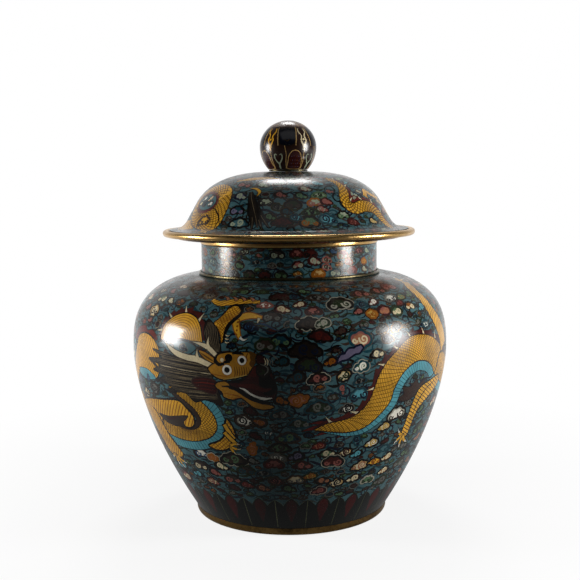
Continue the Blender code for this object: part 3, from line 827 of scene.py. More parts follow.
def drawForeparts(sheet):
    # arch of the neck, with its fin
    hump = smooth(
        [
            (-49, 258), (-49.2, 268), (-48, 279), (-44.5, 290), (-39.5, 295.5), (-34.5, 291.5),
            (-31.5, 281), (-30.2, 270), (-29.6, 262),
        ],
        steps=8,
    )
    path, want = fin(sheet, hump, 9.0, "wine", 14.0)
    spikes(sheet, path, want, 24.0, 11.0, "cream")
    loop = np.concatenate((hump, smooth([(-31, 259), (-35, 262), (-40, 263), (-45, 259)], steps=5)))
    sheet.cell(loop, "ochre", "black", 1.6)
    sheet.solids.append(loop)
    heart = radians(-39.5), 258.0
    for k in range(1, 11):  # arcs that follow the arch
        inner = heart + (hump - heart) * (1 - 0.085 * k)
        sheet.fill(ribbon(sheet.skin, inner, 0.8), "amber", loop)
    sheet.patch(
        [(-47.5, 256), (-41, 261), (-35, 260), (-32, 254), (-35, 246), (-41, 245), (-46, 248)], "turquoise",
        "black", 1.2,
    )
    cloud(sheet, -37.5, 252.5, 15, "grey", "teal", "navy", "comma", 0)
    cloud(sheet, -43.5, 252.5, 12, "cream", "teal", "teal", "comma", 0, -1)

    # shoulder of the near foreleg, left of the mane
    sheet.patch(
        [(-72, 250), (-69, 264), (-62, 271), (-59, 266), (-55, 268), (-51, 258), (-56, 252), (-66, 250)],
        "red", "black", 1.0,
    )
    loop = sheet.patch(
        [
            (-78, 205), (-72, 228), (-69, 244), (-66, 257), (-60, 262), (-54, 258), (-50, 246), (-50, 226),
            (-51, 212), (-54, 208), (-60, 214), (-66, 214), (-71, 200), (-74, 192), (-79, 194),
        ],
        "ochre", "black", 2.0,
    )
    sheet.hatch(loop, "amber", 125, 4.6, 1.3)
    belly = sheet.patch(
        [(-67, 214), (-60, 217), (-55, 213), (-53, 208), (-57, 204), (-62, 203), (-67, 207)], "aqua",
        "black", 1.0,
    )
    sheet.hatch(belly, "teal", 80, 4.0, 0.8)
    sheet.spot(-59, 206, 4.0, "blue", "teal", 1.0, 12)
    claws(sheet, -76, 196, (200, 250, 300), 17)
    sheet.line([(-57, 231), (-53, 227), (-50, 221)], "hair", 1.0, 4.0, 5.0)

    # thigh and lower leg, over the loop of the body
    loop = sheet.patch(
        [
            (-72, 158), (-70, 170), (-60, 178), (-50, 183), (-42, 186), (-38.5, 178), (-36, 169),
            (-35.9, 159), (-37.6, 152), (-40.2, 150), (-42, 153), (-42, 159), (-48, 157), (-54, 154),
            (-56, 146), (-54.5, 130), (-51.5, 118), (-49, 106), (-52, 98), (-58, 96), (-62, 103),
            (-65, 120), (-69, 138),
        ],
        "ochre", "black", 2.6,
    )
    sheet.hatch(loop, "amber", 60, 4.6, 1.4)
    # dark hollow under the thigh, with the curl beside it
    sheet.patch(
        [
            (-57, 159), (-50, 160), (-44, 164), (-38.6, 167), (-40, 161.5), (-41.6, 157), (-42, 151),
            (-47, 148.5), (-53, 151),
        ],
        "hair", "black", 0.8,
    )
    sheet.line([(-53, 155), (-49, 157), (-45, 161)], "maroon", 1.0, 3.0, 1.0)
    sheet.line(
        [(-63, 166), (-59, 160), (-57, 148), (-55, 134), (-51.5, 120), (-48.8, 107)], "black", 0.8, 3.0,
        3.4, 2.6, 2.6, 1.2,
    )
    claws(sheet, -55, 99, (195, 240, 285, 330), 18)

    # far hind foot, right of the loop
    loop = sheet.patch(
        [
            (-32, 130), (-28.5, 124), (-24, 127), (-21.5, 135), (-19.8, 146), (-20, 158), (-22, 170),
            (-23.5, 160), (-24, 148), (-27, 138),
        ],
        "ochre", "black", 2.6,
    )
    sheet.hatch(loop, "amber", 40, 4.2, 1.0)
    sheet.hatch(loop, "amber", -50, 4.2, 0.9)
    for path in ([(-23.4, 163), (-22, 152), (-20.2, 143)], [(-24, 152), (-21.6, 142), (-19.2, 134)]):
        sheet.strip(path, "ochre", 6, 7, 5, width=1.8)
    claws(sheet, -22.5, 133, (-70, -25, 20), 13, tip="cream")


def drawRaisedArm(sheet):
    far = sheet.strip(
        [(-31, 318), (-27, 313), (-22, 316), (-17, 318), (-11, 317)], "ochre", 5, 10, 10, 5, edge="black",
    )
    sheet.hatch(far, "amber", 30, 3.6, 1.2)
    for deg in (-24, -20.5, -17, -13.5):
        sheet.strip(
            [(deg, 319), (deg - 1, 323), (deg - 3, 326)], "coral", 5, 3.5, 0.5, edge="black", width=1.0,
        )
    # fingers that hold the blue pearl cloud
    sheet.strip([(-18.5, 292), (-14, 297), (-9.4, 294.5)], "ochre", 9, 9, 4, edge="amber", width=1.4)
    sheet.strip([(-18.5, 291), (-17.8, 281), (-16.2, 268)], "ochre", 9, 8, 4, edge="amber", width=1.4)
    for s in (273, 278, 283, 288):
        sheet.spot(-17.6, s, 1.4, "amber", None, 1, 8)
    sheet.strip([(-16.4, 270), (-15, 267), (-13.6, 269)], "white", 4, 3, 0.5, width=0.7)
    sheet.strip([(-10.4, 294), (-10.6, 290), (-11, 287)], "cream", 4, 3, 0.5, width=0.7)
    cloud(sheet, -13, 282.5, 21, "blue", "navy", "navy", "comma", 0)
    for k in range(3):
        wisp(sheet, -7.5, 285 - 4 * k, 30, 2.6, ("blue", "navy", "teal")[k], -3, k)
    # forearm and elbow, with the dark line that bounds them
    left = [
        (-22.8, 262), (-23.3, 272), (-24.6, 279), (-26.4, 285), (-24.8, 291.5), (-23.4, 298), (-22.6, 304),
        (-21.2, 309),
    ]
    right = [
        (-21.7, 264), (-21.5, 274), (-20.8, 283), (-20, 288), (-19, 292), (-17.7, 297), (-17.2, 303),
        (-18.6, 309),
    ]
    a, b = smooth(left, steps=6), smooth(right, steps=6)
    loop = np.concatenate((a, smooth([(-20.6, 310.4), (-19.3, 310.2)], steps=3), b[::-1]))
    sheet.cell(loop, "ochre", "black", 1.6)
    sheet.solids.append(loop)
    net(sheet, evenly(sheet.skin, a, 60), evenly(sheet.skin, b, 60), 4.2, "amber", 0.9)
    sheet.line(
        [
            (-23, 304.5), (-21.8, 309.6), (-19.9, 311.5), (-17.9, 309), (-17, 303), (-17.4, 297),
            (-19.2, 290.5), (-20.8, 283), (-21.6, 273), (-22, 263),
        ],
        "black", 1.2, 2.6, 3.4, 3.8, 3.8, 4.2, 5.0, 5.0, 4.0, 2.0,
    )
    for k in range(3):  # fringe at the elbow
        sheet.strip(
            [(-21.4, 264 + 4 * k), (-20.6, 263 + 4 * k), (-19.6, 264 + 4 * k)], "cream", 2.2, 2.0, 0.6,
            edge="black", width=0.8,
        )


def drawHead(sheet):
    # mane that streams back from the cheek, in locks
    mane = sheet.patch(
        [
            (-25, 240), (-35, 240), (-45, 243), (-54, 245), (-48, 237), (-57, 232), (-49, 227), (-54, 219),
            (-47, 215), (-53, 206), (-44, 204), (-46, 194), (-38, 198), (-34, 188), (-29, 192), (-23, 187),
            (-23.5, 200), (-24.5, 210), (-26, 226),
        ],
        "soot", "black", 1.2, steps=5,
    )
    for k in range(36):  # single hairs
        t = k / 35
        root, tip = (-25.5 + 1.0 * t, 239 - 44 * t), (-55 + 17 * t**2, 244 - 52 * t)
        middle = (-38 + 7 * t, (root[1] + tip[1]) / 2 + 1.5 * sin(1.7 * k))
        bold = k in (11, 12, 26)
        sheet.line(
            [root, middle, tip], "cream" if k == 11 else "strand", 0.3, 1.2 if bold else 0.62, 0.3,
            within=mane,
        )
    sheet.patch(
        [(-24.5, 216), (-28, 221), (-33, 218.5), (-34, 211), (-30, 203), (-25, 201)], "maroon", "hair", 1.6,
    )
    for s in (205, 209, 213, 217):
        sheet.line([(-25, s), (-29, s + 1), (-33.4, s - 1)], "red" if s == 213 else "wine", 1.6, 1.6, 0.4)
    # tuft above the horns
    tuft = sheet.patch(
        [
            (-23.4, 250), (-27.2, 257), (-29, 268), (-29.8, 280), (-29, 290), (-26.6, 285), (-24.5, 278),
            (-23.4, 266), (-22.6, 255),
        ],
        "soot", "black", 1.2,
    )
    for k in range(9):
        x = -29 + 0.72 * k
        sheet.line(
            [(x * 0.3 - 16.4, 252), (x, 268), (x * 0.6 - 11.2, 286)], "strand", 0.4, 0.7, 0.4, within=tuft,
        )
    # ear and branched horns; the ear's honey is a darker ochre, painted shade on the head
    sheet.patch(
        [(-31, 252.5), (-28.4, 251), (-24.6, 243.4), (-24.8, 238), (-27.7, 240.5), (-30.2, 247)], "honey",
        "maroon", 1.6,
    )
    sheet.line([(-30.4, 249.6), (-27.6, 244.6), (-25, 240)], "umber", 0.6, 2.2, 0.8)
    for fork in (
        (
            [
                (-25.2, 234), (-28.2, 237.4), (-31.5, 241.2), (-35, 241.8), (-40.2, 245), (-44, 251),
                (-47, 258),
            ],
            (6, 7, 8.5, 8, 7.5, 5, 0.8),
        ),
        ([(-30.8, 240), (-31.6, 246), (-31.6, 254)], (6, 4.5, 0.8)),
        (
            [(-23.9, 246), (-25.8, 252), (-27.6, 256.6), (-30.4, 259.4), (-34, 261.5)],
            (5.5, 6.5, 7, 4.5, 0.8),
        ),
        ([(-27, 255), (-27.6, 261), (-27.4, 270)], (6, 4, 0.8)),
    ):
        sheet.strip(fork[0], "cream", *fork[1], edge="hair", width=1.1)
    sheet.line(
        [(-25.4, 235), (-28.2, 238), (-31.6, 241.4), (-36, 242.4), (-41, 246)], "cream", 4, 5, 5.5, 5.5, 4,
    )
    sheet.line([(-24.4, 247.4), (-26, 252.4), (-27.6, 256.8), (-29.6, 258.8)], "cream", 3.5, 4.4, 4.6, 3)
    # open mouth
    sheet.patch(
        [
            (-20.5, 215), (-17, 220), (-13.5, 226), (-12.3, 232), (-10.8, 238), (-8, 240), (-6, 232),
            (-5, 222), (-4.2, 211), (-4.6, 202), (-6, 197), (-11, 199), (-13.5, 204), (-16, 208),
            (-20, 210),
        ],
        "maroon", "black", 1.4,
    )
    sheet.line([(-21, 217.5), (-17, 218.5), (-14, 222.5)], "black", 1.6, 4.2, 1.0)
    sheet.patch(
        [(-9.6, 226), (-6.2, 225), (-4.6, 213), (-5.2, 204.6), (-8, 203.4), (-9.6, 213)], "black", "black",
        1.0,
    )
    sheet.strip(
        [(-16.8, 213.4), (-12, 213.4), (-8.5, 209), (-6, 211)], "wine", 4, 6.5, 5, 1.5, edge="maroon",
        width=0.9,
    )
    sheet.patch([(-13.6, 226.6), (-12.4, 234), (-11, 237), (-10.4, 230), (-11.4, 224)], "wine", "maroon", 1.0)
    # lower jaw, its dark lip and the teeth; the jaw's honey is a darker ochre, painted shade on the head
    sheet.patch(
        [
            (-21.8, 218), (-24.4, 215.5), (-25, 210), (-22.8, 204), (-22.2, 198), (-19, 195.3),
            (-16.2, 198), (-14.2, 193), (-12.2, 187), (-9, 184.3), (-6, 186), (-5.2, 189), (-6.4, 191.2),
            (-9.8, 193), (-12, 197), (-15, 204), (-18, 208), (-20, 210), (-19.6, 213.4), (-20.6, 217),
        ],
        "honey", "black", 1.8,
    )
    sheet.line(
        [
            (-22.6, 211.6), (-19.6, 211.4), (-16.6, 207), (-14.2, 201.6), (-11.4, 196.4), (-8.6, 194),
            (-5.6, 194),
        ],
        "black", 1.2, 3.0, 5.2, 5.6, 5.0, 4.2, 2.0,
    )
    sheet.strip(
        [(-16.6, 211), (-14.8, 209), (-13.2, 204.8), (-11, 200.8), (-8.4, 198.6), (-5.8, 199.6)], "white",
        1.0, 3.0, 3.2, 3.0, 3.8, 1.4, edge="black", width=0.6,
    )
    sheet.line([(-22, 203), (-18, 201.4), (-15, 198)], "amber", 0.6, 1.4, 0.6)
    sheet.line([(-20.5, 198.4), (-18.4, 197.6), (-16.6, 199)], "amber", 0.6, 1.2, 0.6)
    # face, in honey: a darker ochre, painted shade on the head
    face = sheet.patch(
        [
            (-27.4, 231), (-26.4, 235.5), (-24.6, 240), (-24.2, 247), (-21.5, 251.6), (-17, 253),
            (-13.4, 253.6), (-11.4, 252), (-10.3, 249.4), (-10.4, 245), (-11.2, 240.6), (-12, 235),
            (-12.8, 230), (-13.7, 226.4), (-17, 222.8), (-21, 219.6), (-23.8, 220.6), (-26, 225),
        ],
        "honey", "black", 1.6,
    )
    for k in range(7):  # wrinkles of the snout
        x = -18 + 0.8 * k
        sheet.line([(x, 223.8 + 0.5 * k), (x + 0.3, 229), (x, 236)], "umber", 0.6, 1.4, 0.6, within=face)
    for k in range(4):
        x = -13.4 + 1.3 * k
        sheet.line([(x, 252.5), (x - 0.5, 247.5), (x, 243)], "umber", 0.6, 1.4, 0.6, within=face)
    # painted shade: a dark umber patch over the right part of the face, beside the nose
    sheet.patch(
        [
            (-13, 254), (-11.4, 252.4), (-10.3, 249.4), (-10.4, 245), (-11.2, 240.6), (-12, 236),
            (-12.9, 240), (-12.3, 246),
        ],
        "umber", "umber", 0.6,
    )
    sheet.line([(-22, 219.8), (-18, 222.8), (-13.7, 227)], "yellow", 0.6, 1.4, 0.8)
    sheet.line([(-26.4, 226), (-23.6, 224.4), (-20.4, 223.6)], "amber", 0.6, 1.4, 0.6)
    # nostril and whisker curls at the tip of the snout
    sheet.patch(
        [(-10.6, 249.6), (-9.2, 250.2), (-7.8, 247.4), (-7.4, 242.6), (-8.6, 240), (-10.6, 241.4)],
        "maroon", "black", 1.4,
    )
    sheet.spot(-8.4, 232.6, 8.2, "soot", "black", 1.0, 20)
    sheet.line([(-9.4, 239.6), (-7.4, 237), (-7, 232), (-8.2, 227)], "grey", 0.6, 1.6, 1.6, 0.6)
    sheet.line([(-9.8, 228), (-8.2, 230), (-9, 234)], "olive", 1.0, 2.4, 1.0)
    for k in range(4):
        x = -8.2 + 0.75 * k
        sheet.line(
            [(x, 246.6), (x + 0.5, 243), (x + 0.3, 238.6)], "cream" if k < 2 else "grey", 0.6, 1.5, 0.6,
        )
    sheet.line([(-8, 251.4), (-6.6, 252), (-5.6, 250)], "hair", 1.0, 3.0, 1.0)
    sheet.line([(-5.6, 251), (-4.8, 248.6), (-3.8, 245.4)], "grey", 0.8, 2.4, 0.6)
    # brows and eyes
    sheet.line(
        [(-23.4, 250), (-24.4, 246), (-24.6, 241.6), (-23.4, 237.6), (-21.4, 238)], "black", 1.6, 3.4, 4.6,
        4.6, 1.6,
    )
    sheet.line([(-22.6, 239), (-21, 240.6), (-19.4, 241)], "black", 2.0, 3.6, 2.0)
    sheet.spot(-19.9, 245.6, 4.8, "black")
    sheet.spot(-22.2, 242.8, 2.5, "cream", "amber", 0.6, 14)
    sheet.line([(-18.8, 250.6), (-17, 252), (-14.8, 250.6)], "black", 1.2, 4.0, 1.4)
    for deg, s, ring, pupil in ((-15.4, 243.5, 5.4, 3.1), (-20.5, 231.5, 6.0, 3.5)):
        sheet.spot(deg, s, ring, "white", "amber", 0.7, 24)
        sheet.spot(deg, s, pupil, "black", None, 1, 18)


frontClouds = [  # (degrees, height, width, fill, rim, curl, kind, turn, outer line)
    (23.5, 264, 27, "coral", "teal", "cream", "fungus", -6, "teal"),
    (6.6, 286, 28, "hair", "black", "soot", "bank", 2, "pearl"),
    (11.2, 286.5, 17, "green", "olive", "pearl", "comma", 2, "pearl"),
    (19, 312, 30, "olive", "black", "pearl", "ruyi", 4, "pearl"),
    (8.5, 302.5, 19, "rose", "maroon", "maroon", "ruyi", 0, None),
    (27, 308, 19, "turquoise", "teal", "navy", "comma", 0, None),
    (33, 311, 16, "rose", "maroon", "white", "comma", 10, None),
    (30, 294, 16, "yellow", "amber", "amber", "fungus", 0, "black"),
    (36, 297, 19, "rose", "maroon", "coral", "fungus", 0, None),
    (41.5, 294, 18, "green", "olive", "cream", "fungus", 0, None),
    (43, 314, 21, "white", "grey", "black", "ruyi", 0, None),
    (49, 314, 18, "yellow", "olive", "green", "comma", 0, None),
    (45.5, 305, 15, "rose", "maroon", "red", "comma", 0, None),
    (50, 299, 18, "amber", "black", "cream", "ruyi", 0, None),
    (57, 294, 20, "teal", "black", "aqua", "comma", 0, None),
    (55, 272, 17, "white", "teal", "teal", "comma", 0, None),
    (29.5, 246, 20, "grey", "black", "cream", "bank", 4, None),
    (23.5, 233, 20, "green", "teal", "white", "comma", 0, "pearl"),
    (17.5, 223.5, 18, "cream", "black", "olive", "fungus", 20, None),
    (23, 216, 17, "grey", "teal", "black", "bank", 12, None),
    (23.2, 200, 23, "aqua", "teal", "navy", "ruyi", 0, None),
    (19, 182.5, 17, "white", "black", "black", "comma", 0, "grey"),
    (40.3, 166, 29, "white", "black", "hair", "ruyi", 8, None),
    (35.5, 151.5, 20, "cream", "black", "yellow", "comma", 0, None),
    (31.3, 131, 21, "white", "black", "yellow", "comma", 0, None),
    (24.5, 138, 16, "turquoise", "teal", "navy", "comma", 90, None),
    (10, 135, 17, "coral", "maroon", "red", "comma", 0, None),
    (13.5, 123, 21, "green", "black", "cream", "bank", 0, None),
    (20.5, 122.5, 19, "cream", "black", "maroon", "comma", 8, None),
    (16.3, 110.5, 25, "wine", "black", "rose", "ruyi", -4, "pearl"),
    (25.5, 118, 17, "teal", "black", "aqua", "comma", 0, None),
    (28.5, 99, 25, "cream", "black", "coral", "comma", 0, None),
    (35.5, 101, 22, "ochre", "black", "amber", "bank", 0, None),
    (38.5, 118, 19, "turquoise", "teal", "teal", "ruyi", 0, None),
    (42, 104, 20, "amber", "black", "cream", "comma", 0, None),
    (25, 299, 14, "red", "black", "rose", "comma", 0, None),
    (30, 327, 27, "maroon", "hair", "rose", "bank", 0, None),
    (40, 330, 24, "hair", "black", "rose", "bank", 0, None),
    (49, 336, 26, "red", "maroon", "rose", "ruyi", 0, None),
    (56, 316, 20, "hair", "black", "green", "comma", 0, None),
    (-6, 296, 21, "hair", "black", "grey", "ruyi", 0, None),
    (-2.5, 306, 19, "coral", "maroon", "cream", "comma", 0, None),
    (3.8, 313, 16, "rose", "maroon", "cream", "comma", 0, None),
    (-9, 312, 18, "white", "rose", "rose", "bank", 0, None),
    (-15.6, 168.5, 23, "white", "hair", "black", "comma", 0, "black"),
    (-10.4, 168, 16, "coral", "hair", "amber", "comma", 180, "black"),
    (-14, 131, 19, "coral", "amber", "amber", "comma", 90, None),
    (-4, 133, 26, "green", "black", "hair", "bank", 0, None),
    (-5, 119, 20, "white", "grey", "grey", "comma", 0, None),
    (-6.5, 109.5, 23, "rose", "maroon", "red", "ruyi", 0, None),
    (2.6, 197, 23, "coral", "amber", "amber", "comma", 180, "black"),
    (-3, 196, 18, "hair", "black", "amber", "comma", 0, None),
    (9, 222, 24, "maroon", "black", "rose", "bank", 8, "pearl"),
    (13, 241, 17, "wine", "black", "amber", "comma", 0, None),
    (-3, 267, 22, "teal", "black", "green", "ruyi", 0, None),
    (10, 271, 27, "maroon", "black", "wine", "bank", -8, None),
    (5, 255, 36, "soot", "black", "navy", "bank", 0, None),
    (6, 238, 29, "olive", "black", "navy", "ruyi", -8, None),
    (2, 224, 22, "hair", "black", "teal", "comma", 0, None),
    (9.5, 186, 32, "olive", "teal", "grey", "bank", 4, None),
    (17, 208, 15, "maroon", "teal", "rose", "comma", 80, None),
    (-8, 262, 22, "hair", "olive", "grey", "ruyi", 0, None),
    (-3, 178, 24, "hair", "teal", "grey", "bank", 0, None),
    (-7.5, 154, 12, "white", "teal", "teal", "comma", 0, None),
    (3, 166, 26, "olive", "teal", "grey", "bank", 0, None),
    (-1, 147, 27, "teal", "hair", "green", "bank", 0, None),
    (2, 121, 20, "navy", "black", "lavender", "comma", 0, None),
    (4.5, 107, 22, "hair", "maroon", "rose", "bank", 0, None),
    (-45.5, 133, 20, "cream", "black", "ochre", "comma", 0, None),
    (-41.5, 123, 18, "green", "olive", "cream", "comma", 0, None),
    (-37, 115, 21, "white", "navy", "blue", "ruyi", 0, None),
    (-31.5, 111.5, 17, "coral", "amber", "amber", "comma", 0, "pearl"),
    (-22.6, 112.5, 33, "hair", "black", "green", "bank", 0, "pearl"),
    (-28.8, 100, 19, "green", "black", "cream", "comma", 0, None),
    (-14.5, 113, 15, "olive", "black", "grey", "comma", 0, None),
    (-18, 98, 22, "hair", "olive", "teal", "ruyi", 0, None),
    (-25, 82, 21, "hair", "black", "rose", "ruyi", 0, None),
    (-19, 74.5, 18, "rose", "black", "red", "comma", 0, None),
    (-11, 95, 20, "grey", "teal", "black", "bank", 0, None),
    (-6, 83, 20, "rose", "hair", "maroon", "comma", 0, None),
    (1.8, 85.5, 21, "cream", "hair", "grey", "ruyi", 0, None),
    (7.6, 90.5, 18, "yellow", "olive", "amber", "comma", 0, None),
    (-1, 71, 18, "olive", "black", "green", "comma", 0, None),
    (12, 66, 18, "red", "maroon", "rose", "comma", 0, "pearl"),
    (19, 76.5, 22, "cream", "black", "black", "comma", 0, None),
    (13, 82, 19, "hair", "black", "coral", "bank", 0, None),
    (27, 80, 20, "olive", "black", "cream", "comma", 0, None),
    (35, 73, 20, "green", "pearl", "olive", "ruyi", 0, None),
    (43, 82, 19, "amber", "black", "cream", "comma", 0, None),
    (-33, 88, 18, "red", "black", "rose", "comma", 0, None),
    (-40, 95, 21, "hair", "black", "cream", "ruyi", 0, None),
    (-36, 72, 19, "cream", "maroon", "rose", "comma", 0, None),
    (-44, 79, 20, "teal", "black", "aqua", "bank", 0, None),
    (-12, 71, 17, "hair", "maroon", "coral", "comma", 0, None),
]
# fill, rim and curl of the clouds that fill the rest
cloudMixes = [
    ("hair", "black", "rose"), ("olive", "black", "green"), ("cream", "black", "hair"),
    ("rose", "maroon", "cream"), ("grey", "black", "black"), ("green", "black", "cream"),
    ("coral", "maroon", "red"), ("teal", "black", "aqua"), ("red", "black", "rose"),
    ("yellow", "black", "amber"), ("hair", "olive", "coral"), ("maroon", "black", "rose"),
    ("navy", "black", "blue"), ("hair", "teal", "coral"), ("maroon", "hair", "grey"),
    ("olive", "hair", "teal"),
]
# quiet clouds between the bright ones
darkMixes = [
    ("hair", "black", "olive"), ("olive", "black", "teal"), ("maroon", "black", "hair"),
    ("hair", "black", "maroon"), ("teal", "black", "navy"), ("olive", "hair", "grey"),
    ("hair", "olive", "grey"), ("amber", "black", "hair"), ("green", "olive", "olive"),
    ("grey", "hair", "black"), ("wine", "black", "maroon"), ("olive", "black", "green"),
]


# softer glazes of the lid and neck
quiet = {"cream": "celadon", "white": "celadon", "coral": "rose", "red": "wine", "yellow": "straw"}
quietMixes = [(quiet.get(fill, fill), rim, quiet.get(core, core)) for fill, rim, core in cloudMixes]


flowGlazes = ("teal", "navy", "hair", "black", "hair", "teal", "olive", "navy", "olive")


def drawFlow(sheet, span, lowest, highest, gap):  # dark streams of cloud on the ground
    s = lowest
    while s < highest:
        deg = span[0] + chance.uniform(0, 6)
        while deg < span[1]:
            length, glaze, wide = chance.uniform(18, 36), chance.choice(flowGlazes), chance.uniform(1.8, 4.2)
            height, rise, phase = s + chance.uniform(-4, 4), chance.uniform(-6, 6), chance.uniform(0, 6)
            wisp(sheet, deg, height, length, wide, glaze, rise, phase)
            deg += length / sheet.skin.radius(s) * 180 / pi * chance.uniform(0.5, 0.85)
        s += gap


def drawScrolls(sheet, span, lowest, highest, gap):  # dark spiral lines on the ground
    s = lowest
    while s < highest:
        deg = span[0] + chance.uniform(0, 5)
        while deg < span[1]:
            size, begin, turns = chance.uniform(13, 22), chance.uniform(0, 6), chance.choice((1.5, -1.5))
            spiral = curl(0, 0, 0.05, 0.5, turns, begin, 20)
            path = placed(sheet.skin, deg, s + chance.uniform(-5, 5), spiral, size)
            glaze = chance.choice(("navy", "teal", "black", "navy"))
            sheet.fill(ribbon(sheet.skin, path, 0.9, 2.2, 2.4, 0.6), glaze)
            deg += size * 1.25 / sheet.skin.radius(s) * 180 / pi
        s += gap


def taken(sheet, deg, s, reach):  # true where a drawn figure is in the way
    ring = placed(sheet.skin, deg, s, disc(10) * (1, 0.6), reach)
    ring = np.concatenate((ring, np.array([[radians(deg), s]])))
    least, most = ring.min(0), ring.max(0)
    for loop in sheet.solids:
        near = (most > loop.min(0)).all() and (least < loop.max(0)).all()
        if near and inside(ring, loop).any():
            return True
    return False


def fillClouds(sheet, span, lowest, highest, pitch, sizes, mixes):
    s = lowest
    row = 0
    while s < highest:
        step = pitch * 1.45 / sheet.skin.radius(s) * 180 / pi
        deg = span[0] + step * (0.25 + 0.5 * (row % 2))
        while deg < span[1]:
            d, h, size = deg + chance.uniform(-1.2, 1.2), s + chance.uniform(-3, 3), chance.uniform(*sizes)
            mix = chance.choice(mixes)
            kind, flip = chance.choice(("ruyi", "comma", "fungus", "bank")), chance.choice((1, -1))
            if not taken(sheet, d, h, size * 0.5):
                outer = "grey" if chance.random() < 0.15 else None
                cloud(sheet, d, h, size, *mix, kind, chance.uniform(-12, 12), flip, outer=outer)
            elif not taken(sheet, d, h, size * 0.34):
                cloud(sheet, d, h, size * 0.68, *mix, "comma", chance.uniform(-12, 12), flip)
            deg += step
        s += pitch
        row += 1


petalBand = {
    "count": 24, "tip": 58.0, "rearDrop": 3.0, "valley": 46.0, "fullness": 1.25, "roundness": 0.8,
    "wire": 0.5, "foot": -2.0,
    "tear": [(0, 55), (1.5, 52.5), (2.5, 46), (2.4, 39), (1.3, 29), (0, 20)],
    "vein": (54, 36, 12),
    "flank": [(3.6, 46), (4.4, 40), (4.8, 30), (4.5, 20), (4.0, 13)],
}


def petalTop(form, share):  # height of the scalloped edge, from the middle of a front petal to a vein
    place = abs(share)
    tip = form["tip"] - (0 if place <= 0.5 else form["rearDrop"])
    across = place * 2 if place <= 0.5 else (1 - place) * 2
    arch = max(1 - across ** form["fullness"], 0) ** form["roundness"]
    return form["valley"] + (tip - form["valley"]) * arch


def drawPetals(sheet, form):
    skin = sheet.skin
    pitch = 360 / form["count"]

    def onSkin(z):  # length along the outline at a height
        return float(np.interp(z, skin.line[:, 1], skin.length))

    top = []
    for i in range(form["count"] // 2 + 2):
        for k in range(16):
            share = k / 8 - 1
            deg = -180 - pitch + (i + share / 2 + 0.5) * pitch - pitch / 2
            top.append((radians(deg), onSkin(petalTop(form, share))))
    top = np.array(top)
    foot = np.array([(top[-1, 0], form["foot"]), (top[0, 0], form["foot"])])
    sheet.fill(np.concatenate((top + (0, form["wire"] / 2), foot)), "petalWire")
    sheet.fill(np.concatenate((top - (0, form["wire"] / 2), foot)), "petal")
    for i in range(form["count"] // 2 + 2):
        middle = -180 - pitch + i * pitch
        tear = form["tear"] + [(-x, z) for x, z in form["tear"][-2:0:-1]]
        tear = [(middle + x, onSkin(z)) for x, z in tear]
        sheet.cell(smooth(tear, True, 4), "petalRed", "maroon", 0.8)
        vein = [(middle + pitch / 2, onSkin(z)) for z in form["vein"]]
        sheet.line(vein, "petalWire", 0.7, 1.1, 0.8)
        for side in (-1, 1):  # flanks of the front petal
            flank = [(middle + side * x, onSkin(z)) for x, z in form["flank"]]
            sheet.line(flank, "black", 0.7, 0.9, 0.6)


bodyFill = {  # spans in degrees, lowest and highest line, pitch, and widths of the clouds
    "flow": ((-182, 2), 52, 372, 9.0),
    "scrolls": ((-184, 4), 58, 370, 15.0),
    "zones": (((-180, -122), darkMixes), ((-122, -52), cloudMixes), ((-52, 0), darkMixes)),
    "large": (68, 368, 16.0, (20, 31)),
    "small": ((-180, 0), 57, 372, 9.5, (10, 14)),
    "frontScale": 1.18,  # listed front clouds are drawn this much wider
    "seamReach": 3.6,  # millimetres of cloud for a degree from the seam
    "grid": 8.0,  # spacing of the plain mesh points
}


def buildBody(fill):
    print("drawing the body")
    sheet = Sheet(bodySkin, "turquoise")
    drawFlow(sheet, *fill["flow"])
    drawScrolls(sheet, *fill["scrolls"])
    mark = len(sheet.cells)
    drawTail(sheet, other)
    drawDragonBody(sheet, dragonBody)
    drawHindLeg(sheet, other)
    drawForeparts(sheet)
    drawRaisedArm(sheet)
    drawHead(sheet)
    dragon, sheet.cells = sheet.cells[mark:], sheet.cells[:mark]
    for deg, s, size, *look, turn, outer in frontClouds:
        size *= fill["frontScale"]
        shifts = [other if deg > 0 else 0.0]
        if abs(deg) * fill["seamReach"] < size:  # a cloud on the seam of the design is drawn at both ends
            shifts.append(other - shifts[0])
        for shift in shifts:
            cloud(sheet, deg, s, size, *look, turn, 1 if deg < 0 else -1, shift, outer)
    sheet.strip(
        [(24, 257), (22.4, 253.5), (21.2, 252), (19.6, 250.6), (18.2, 246.4), (16.6, 245), (15.2, 239.5)],
        "lavender", 5, 10, 8, 11, 8, 8, 1.5, edge="navy", width=2.4, shift=other,
    )
    for span, mixes in fill["zones"]:
        fillClouds(sheet, span, *fill["large"], mixes)
    fillClouds(sheet, *fill["small"], darkMixes)
    sheet.cells += dragon
    drawPetals(sheet, petalBand)
    whole = bodySkin.whole
    edge = [(0.0, s) for s in np.linspace(0, whole, 60)]
    edge += [(a, whole) for a in np.linspace(0, -pi, 120)[1:]]
    edge += [(-pi, s) for s in np.linspace(whole, 0, 60)[1:]]
    edge += [(a, 0.0) for a in np.linspace(-pi, 0, 120)[1:-1]]
    made = cut(sheet, "body", np.array(edge), fill["grid"], 2)
    petals = [p for p in made if "petal" in p.name]
    fitted([p for p in petals if p.name != "body_petalWire"], "jar", "petal_enamel", "petal_enamel")
    fitted([p for p in petals if p.name == "body_petalWire"], "jar", "gilt", "petal_wire")
    rest = [p for p in made if p not in petals]
    fitted(rest, "jar", "turquoise_enamel", "lower_body_enamel", "shoulder_enamel")


buildBody(bodyFill)


# neck

